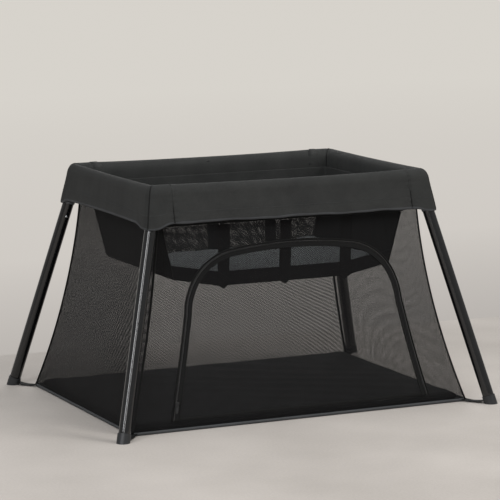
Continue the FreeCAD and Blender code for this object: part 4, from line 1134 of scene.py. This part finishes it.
foot_ring, _ = ring(COT_FOOT_X, COT_FOOT_Y, 8 * MM, 110, 7)
foot_line = np.column_stack([foot_ring, cot_foot(foot_ring[:, 0]) + 1.0 * MM])
foot_line[:, 1] = np.sign(foot_line[:, 1]) * np.minimum(np.abs(foot_line[:, 1]),
                                                        cot_y(foot_line[:, 2]) - 0.2 * MM)
edge = carried("bassinet_foot_binding", foot_line, oval(3.6 * MM, 5.0 * MM, 12, 2.4), (0, 0, 1), BINDING,
               closed=True)
rides_bassinet(edge, "webbing")

rim_ring, _ = ring(RIM_X - 2 * MM, RIM_Y - 2 * MM, 11 * MM, 60, 9)
rim_line = np.column_stack([rim_ring, np.full(len(rim_ring), (RIM_LOW[2] + RIM_Z) / 2)])
rim_high = RIM_Z - RIM_LOW[2] + 1 * MM
rim = carried("bassinet_rim_band", rim_line, oval(3.8 * MM, rim_high, 28, 8.0), (0, 0, 1), HEATHER,
              closed=True)
rides_bassinet(rim, "bassinet_cloth", "bassinet_rim")


def web(name, middle):
    """A carrying web: flat webbing down the front, round the foot, under the bottom and up the back."""
    bend_z, bend_r = FLAT_Z + 3 * MM, 4 * MM
    down = np.linspace(PANEL_TOP, bend_z, 44)
    front = np.column_stack([-(cot_y(down) + 1.8 * MM), down])
    reach = COT_FOOT_Y + 1.6 * MM
    turn = np.linspace(0, np.pi / 2, 7)[1:]
    bend = np.column_stack([-reach + bend_r * (1 - np.cos(turn)), bend_z - 4.2 * MM * np.sin(turn)])
    under = np.linspace(-reach + 2 * bend_r, 0, 30)
    flat = np.column_stack([under, np.full(len(under), FLAT_Z - 1.2 * MM)])
    half = np.vstack([front, bend, flat])
    half = np.column_stack([np.full(len(half), middle), half])
    path = even(np.vstack([half, (half * (1, -1, 1))[::-1][1:]]), 6 * MM)
    ahead = np.gradient(path, axis=0)
    up = np.cross(ahead, (-1.0, 0, 0))
    return carried(name, path, oval(35 * MM, 1.5 * MM, 20, 6), up, WEBBING)


def web_tab(name, middle, side):
    """The pointed end of a web below the bassinet's edge: a flat tongue that narrows to a blunt tip."""
    t = np.linspace(0, 1, 14)
    half = 16.5 * MM * (1 - t) ** 0.8 + 1.2 * MM
    z = FLAT_Z + 4 * MM - 14 * MM * t
    s = np.linspace(-1, 1, 13)
    x = middle + s[None] * half[:, None]
    y = side * (cot_y(z) + 3.2 * MM)[:, None]
    points = np.stack(np.broadcast_arrays(x, y, z[:, None]), -1)
    return thickened(outside(sheet_piece(name, points, WEBBING), (0, side, 0)), 1.3 * MM)


for index, middle in enumerate(WEBS):
    rides_bassinet(web(f"bassinet_web_{index + 1}", middle), "webbing", "bassinet_webs")
    for side_name, side in SIDES:
        rides_bassinet(web_tab(f"bassinet_tab_{side_name}_{index + 1}", middle, side), "webbing")

PAD_LOW, PAD_HIGH = span("bassinet_pad")
BOARD_LOW, BOARD_HIGH = span("bassinet_board")


def pad_creases(x, y):
    """The pad's creases: cloth drawn across it in long soft folds, deeper towards its edges."""
    across = np.abs(np.sin((x + 0.45 * y) / 0.026 + 1.1 * np.sin(y / 0.06)))
    slanting = np.abs(np.sin((x - 0.8 * y) / 0.038 + 0.9 * np.sin(x / 0.09)))
    return MM * (3.0 * across ** 0.6 * (0.55 + 0.45 * np.sin(x / 0.11 + 1.0)) + 1.8 * slanting ** 0.6 - 2.6)


def laid_in_cot(made, low):
    """Lifts a flat piece to a level over the bassinet's bottom, which it follows where that rises."""
    points = points_of(made.data)
    points[:, 2] += cot_foot(points[:, 0]) + (low - FLAT_Z)
    move_points(made, points)
    return made


pad = stuffed("bassinet_pad_cushion", PAD_HIGH[0] - 3 * MM, PAD_HIGH[1] - 2 * MM, 22 * MM, 0.6 * MM, 16 * MM,
              8 * MM, 7 * MM, JERSEY, pad_creases)
laid_in_cot(filled(pad, 3.0, 6 * MM, 0.3 * MM), PAD_LOW[2])
rides_bassinet(applied(smooth(pad, 1)), "pad_cloth", "bassinet_pad")

board = stuffed("bassinet_board_sheet", BOARD_HIGH[0] - 1 * MM, BOARD_HIGH[1] - 1 * MM, 12 * MM, 0.0,
                2.6 * MM,
                1 * MM, 14 * MM, BOARD)
rides_bassinet(laid_in_cot(board, BOARD_LOW[2]), "board", "bassinet_board")

# ---------------------------------------------------------------- legs

LEG_R, LEG_START = 16 * MM, 74 * MM
# How far the rivets are below the leg pivots.
RIVET_DROP = 0.606 - 0.500
# Profiles as (distance along, radius) in mm.
RING_PROFILE = np.array(((66.5, 15.6), (66.5, 17.2), (67.2, 17.9), (72.4, 17.9), (73.2, 17.2), (74.4, 16.3),
                         (74.4, 15.6))) * MM
RIVET_PROFILE = np.array(((-1.2, 3.6), (0.25, 3.6), (0.8, 3.3), (1.4, 2.5), (1.8, 1.4), (1.95, 0.3))) * MM
for side_name, side in SIDES:
    for end_name, end in ENDS:
        corner_name = f"{side_name}_{end_name}"
        body = f"{corner_name}_leg"
        pivot = PIVOT * (end / np.sign(PIVOT[0]), side / np.sign(PIVOT[1]), 1)
        foot = np.array([end * LEG_FOOT[0], side * LEG_FOOT[1], 0.0])
        length = np.linalg.norm(foot - pivot)
        axis = (foot - pivot) / length
        profile = [(LEG_START, LEG_R - 1.4 * MM), (LEG_START, LEG_R - 0.4 * MM),
                   (LEG_START + 0.5 * MM, LEG_R)]
        profile += [(d, LEG_R) for d in np.linspace(LEG_START + 1 * MM, length - 8 * MM, 24)]
        profile += [(length - 7 * MM, LEG_R - 1.4 * MM)]
        tube = turned(f"leg_{corner_name}", profile, pivot, axis, ENAMEL, 64)
        rides(tube, body, "leg_black", f"leg_tube_{corner_name}")
        collar = turned(f"leg_ring_{corner_name}", RING_PROFILE, pivot, axis, COLLAR, 64)
        rides(collar, body, "moulded_black")
        middle = pivot + axis * RIVET_DROP / -axis[2]
        inward = np.array([0, -side, 0.0])
        inward = inward - axis * (inward @ axis)
        inward = inward / np.linalg.norm(inward)
        rivet = turned(f"leg_rivet_{corner_name}", RIVET_PROFILE, middle + inward * LEG_R, inward, PLATED, 32)
        rides(rivet, body, "pin_steel")

# ---------------------------------------------------------------- room, light and camera

# Pale loop-pile carpet under the pen.
FLOOR = woven("pale_loop_carpet", "ada7a1", "c1bbb5", 3.0 * MM, 0.95, sheen=0.1, cloudy=2.0, blotch=0.7)
# Pale floor behind the pen, lit of itself with painted light in place of lamp light: painted shade makes it warmer
# and darker close by, paler further off.
far_glow_paint, tree, surface = material("pale_floor_lit", {"Roughness": 0.95, "Base Color": linear("202020"),
                                                       "Specular IOR Level": 0.0, "Emission Strength": 1.0})
behind = add(tree, "ShaderNodeSeparateXYZ", None, placed(tree)).outputs[1]
further = add(tree, RANGE, {"From Min": 0.8, "From Max": 9.0}, behind)
# Painted light and shade: the glow's colour, darker near the pen and paler far off.
FAR_GLOW_AND_SHADE = {"stops": ((0.0, "b7b2ad"), (0.22, "cdc8c2"), (1.0, "d6d2cb"))}
feed(tree, surface, {"Emission Color": add(tree, RAMP, FAR_GLOW_AND_SHADE, further)})
# A point of the line where the two floors meet, the line's direction, and how far the floors reach.
FLOOR_JOIN, FLOOR_WAY = (0.38, 0.80, 0), (1.705, -0.106, 0)
FLOOR_WIDE, FLOOR_NEAR, FLOOR_FAR = 30, -20, 60


def backdrop(name, profile, material):
    """A long level sheet under or behind the pen: a profile of (distance back, height) carried along a line
    that runs nearly along X."""
    along = np.array(FLOOR_WAY) / math.hypot(*FLOOR_WAY)
    back = np.array([-along[1], along[0], 0])
    reach = np.linspace(-FLOOR_WIDE, FLOOR_WIDE, 31)
    profile = np.asarray(profile, float)
    points = np.array(FLOOR_JOIN) + reach[:, None, None] * along + profile[None, :, :1] * back
    points = points + profile[None, :, 1:] * np.array([0, 0, 1])
    return sheet_piece(name, points, material)


near_profile = [(d, 0.0) for d in np.linspace(FLOOR_NEAR, 0.0, 31)]
far_profile = [(d, 0.0) for d in np.linspace(0.0, FLOOR_FAR, 31)]
carpet = outside(backdrop("studio_floor", near_profile, FLOOR), (0, 0, 1))
far_floor = outside(backdrop("studio_floor_far", far_profile, far_glow_paint), (0, 0, 1))


def lamp(name, place, aim, width, height, power, colour="ffffff"):
    """A rectangular soft light that looks at a point."""
    light = bpy.data.lights.new(name, "AREA")
    light.shape, light.size, light.size_y, light.energy = "RECTANGLE", width, height, power
    light.color = linear(colour)[:3]
    made = bpy.data.objects.new(name, light)
    bpy.context.scene.collection.objects.link(made)
    made.location = place
    made.rotation_euler = (Vector(aim) - Vector(place)).to_track_quat("-Z", "Y").to_euler()


lamp("key_light", (2.6, -3.4, 3.2), (0, 0, 0.3), 1.6, 1.6, 95, "fffdfa")
lamp("side_light", (-3.4, -2.2, 2.2), (0, 0, 0.3), 0.5, 2.2, 48, "fafbff")
lamp("top_light", (0.2, -0.4, 3.6), (0, 0, 0), 3.0, 2.4, 62)
lamp("back_light", (2.2, 4.6, 2.6), (0, 0, 0.3), 2.4, 1.6, 60)
lamp("edge_light", (-2.4, -3.6, 1.6), (-0.4, -0.3, 0.3), 0.25, 2.4, 26)
world = bpy.data.worlds.new("soft_room")
world.use_nodes = True
sky = world.node_tree.nodes["Background"].inputs
sky["Color"].default_value = linear("e8e7e5")
sky["Strength"].default_value = 0.42
bpy.context.scene.world = world
bpy.context.scene.view_settings.view_transform = "Standard"

YAW, PITCH, ROLL = 0.435, -0.152, -0.006
CAMERA_AT = (-2.965, -6.409, 1.485)
camera_data = bpy.data.cameras.new("camera")
camera_data.lens = 183.07
camera_data.sensor_width = 36.0
camera_data.shift_x, camera_data.shift_y = -0.0008, 0.0056
camera_data.clip_end = 60
camera = bpy.data.objects.new("camera", camera_data)
bpy.context.scene.collection.objects.link(camera)
ahead = Vector((math.sin(YAW) * math.cos(PITCH), math.cos(YAW) * math.cos(PITCH), math.sin(PITCH)))
right = Vector((math.cos(YAW), -math.sin(YAW), 0))
up = right.cross(ahead)
right, up = right * math.cos(ROLL) + up * math.sin(ROLL), up * math.cos(ROLL) - right * math.sin(ROLL)
camera.matrix_world = Matrix([(right[k], up[k], -ahead[k], CAMERA_AT[k]) for k in range(3)] + [(0, 0, 0, 1)])
bpy.context.scene.camera = camera
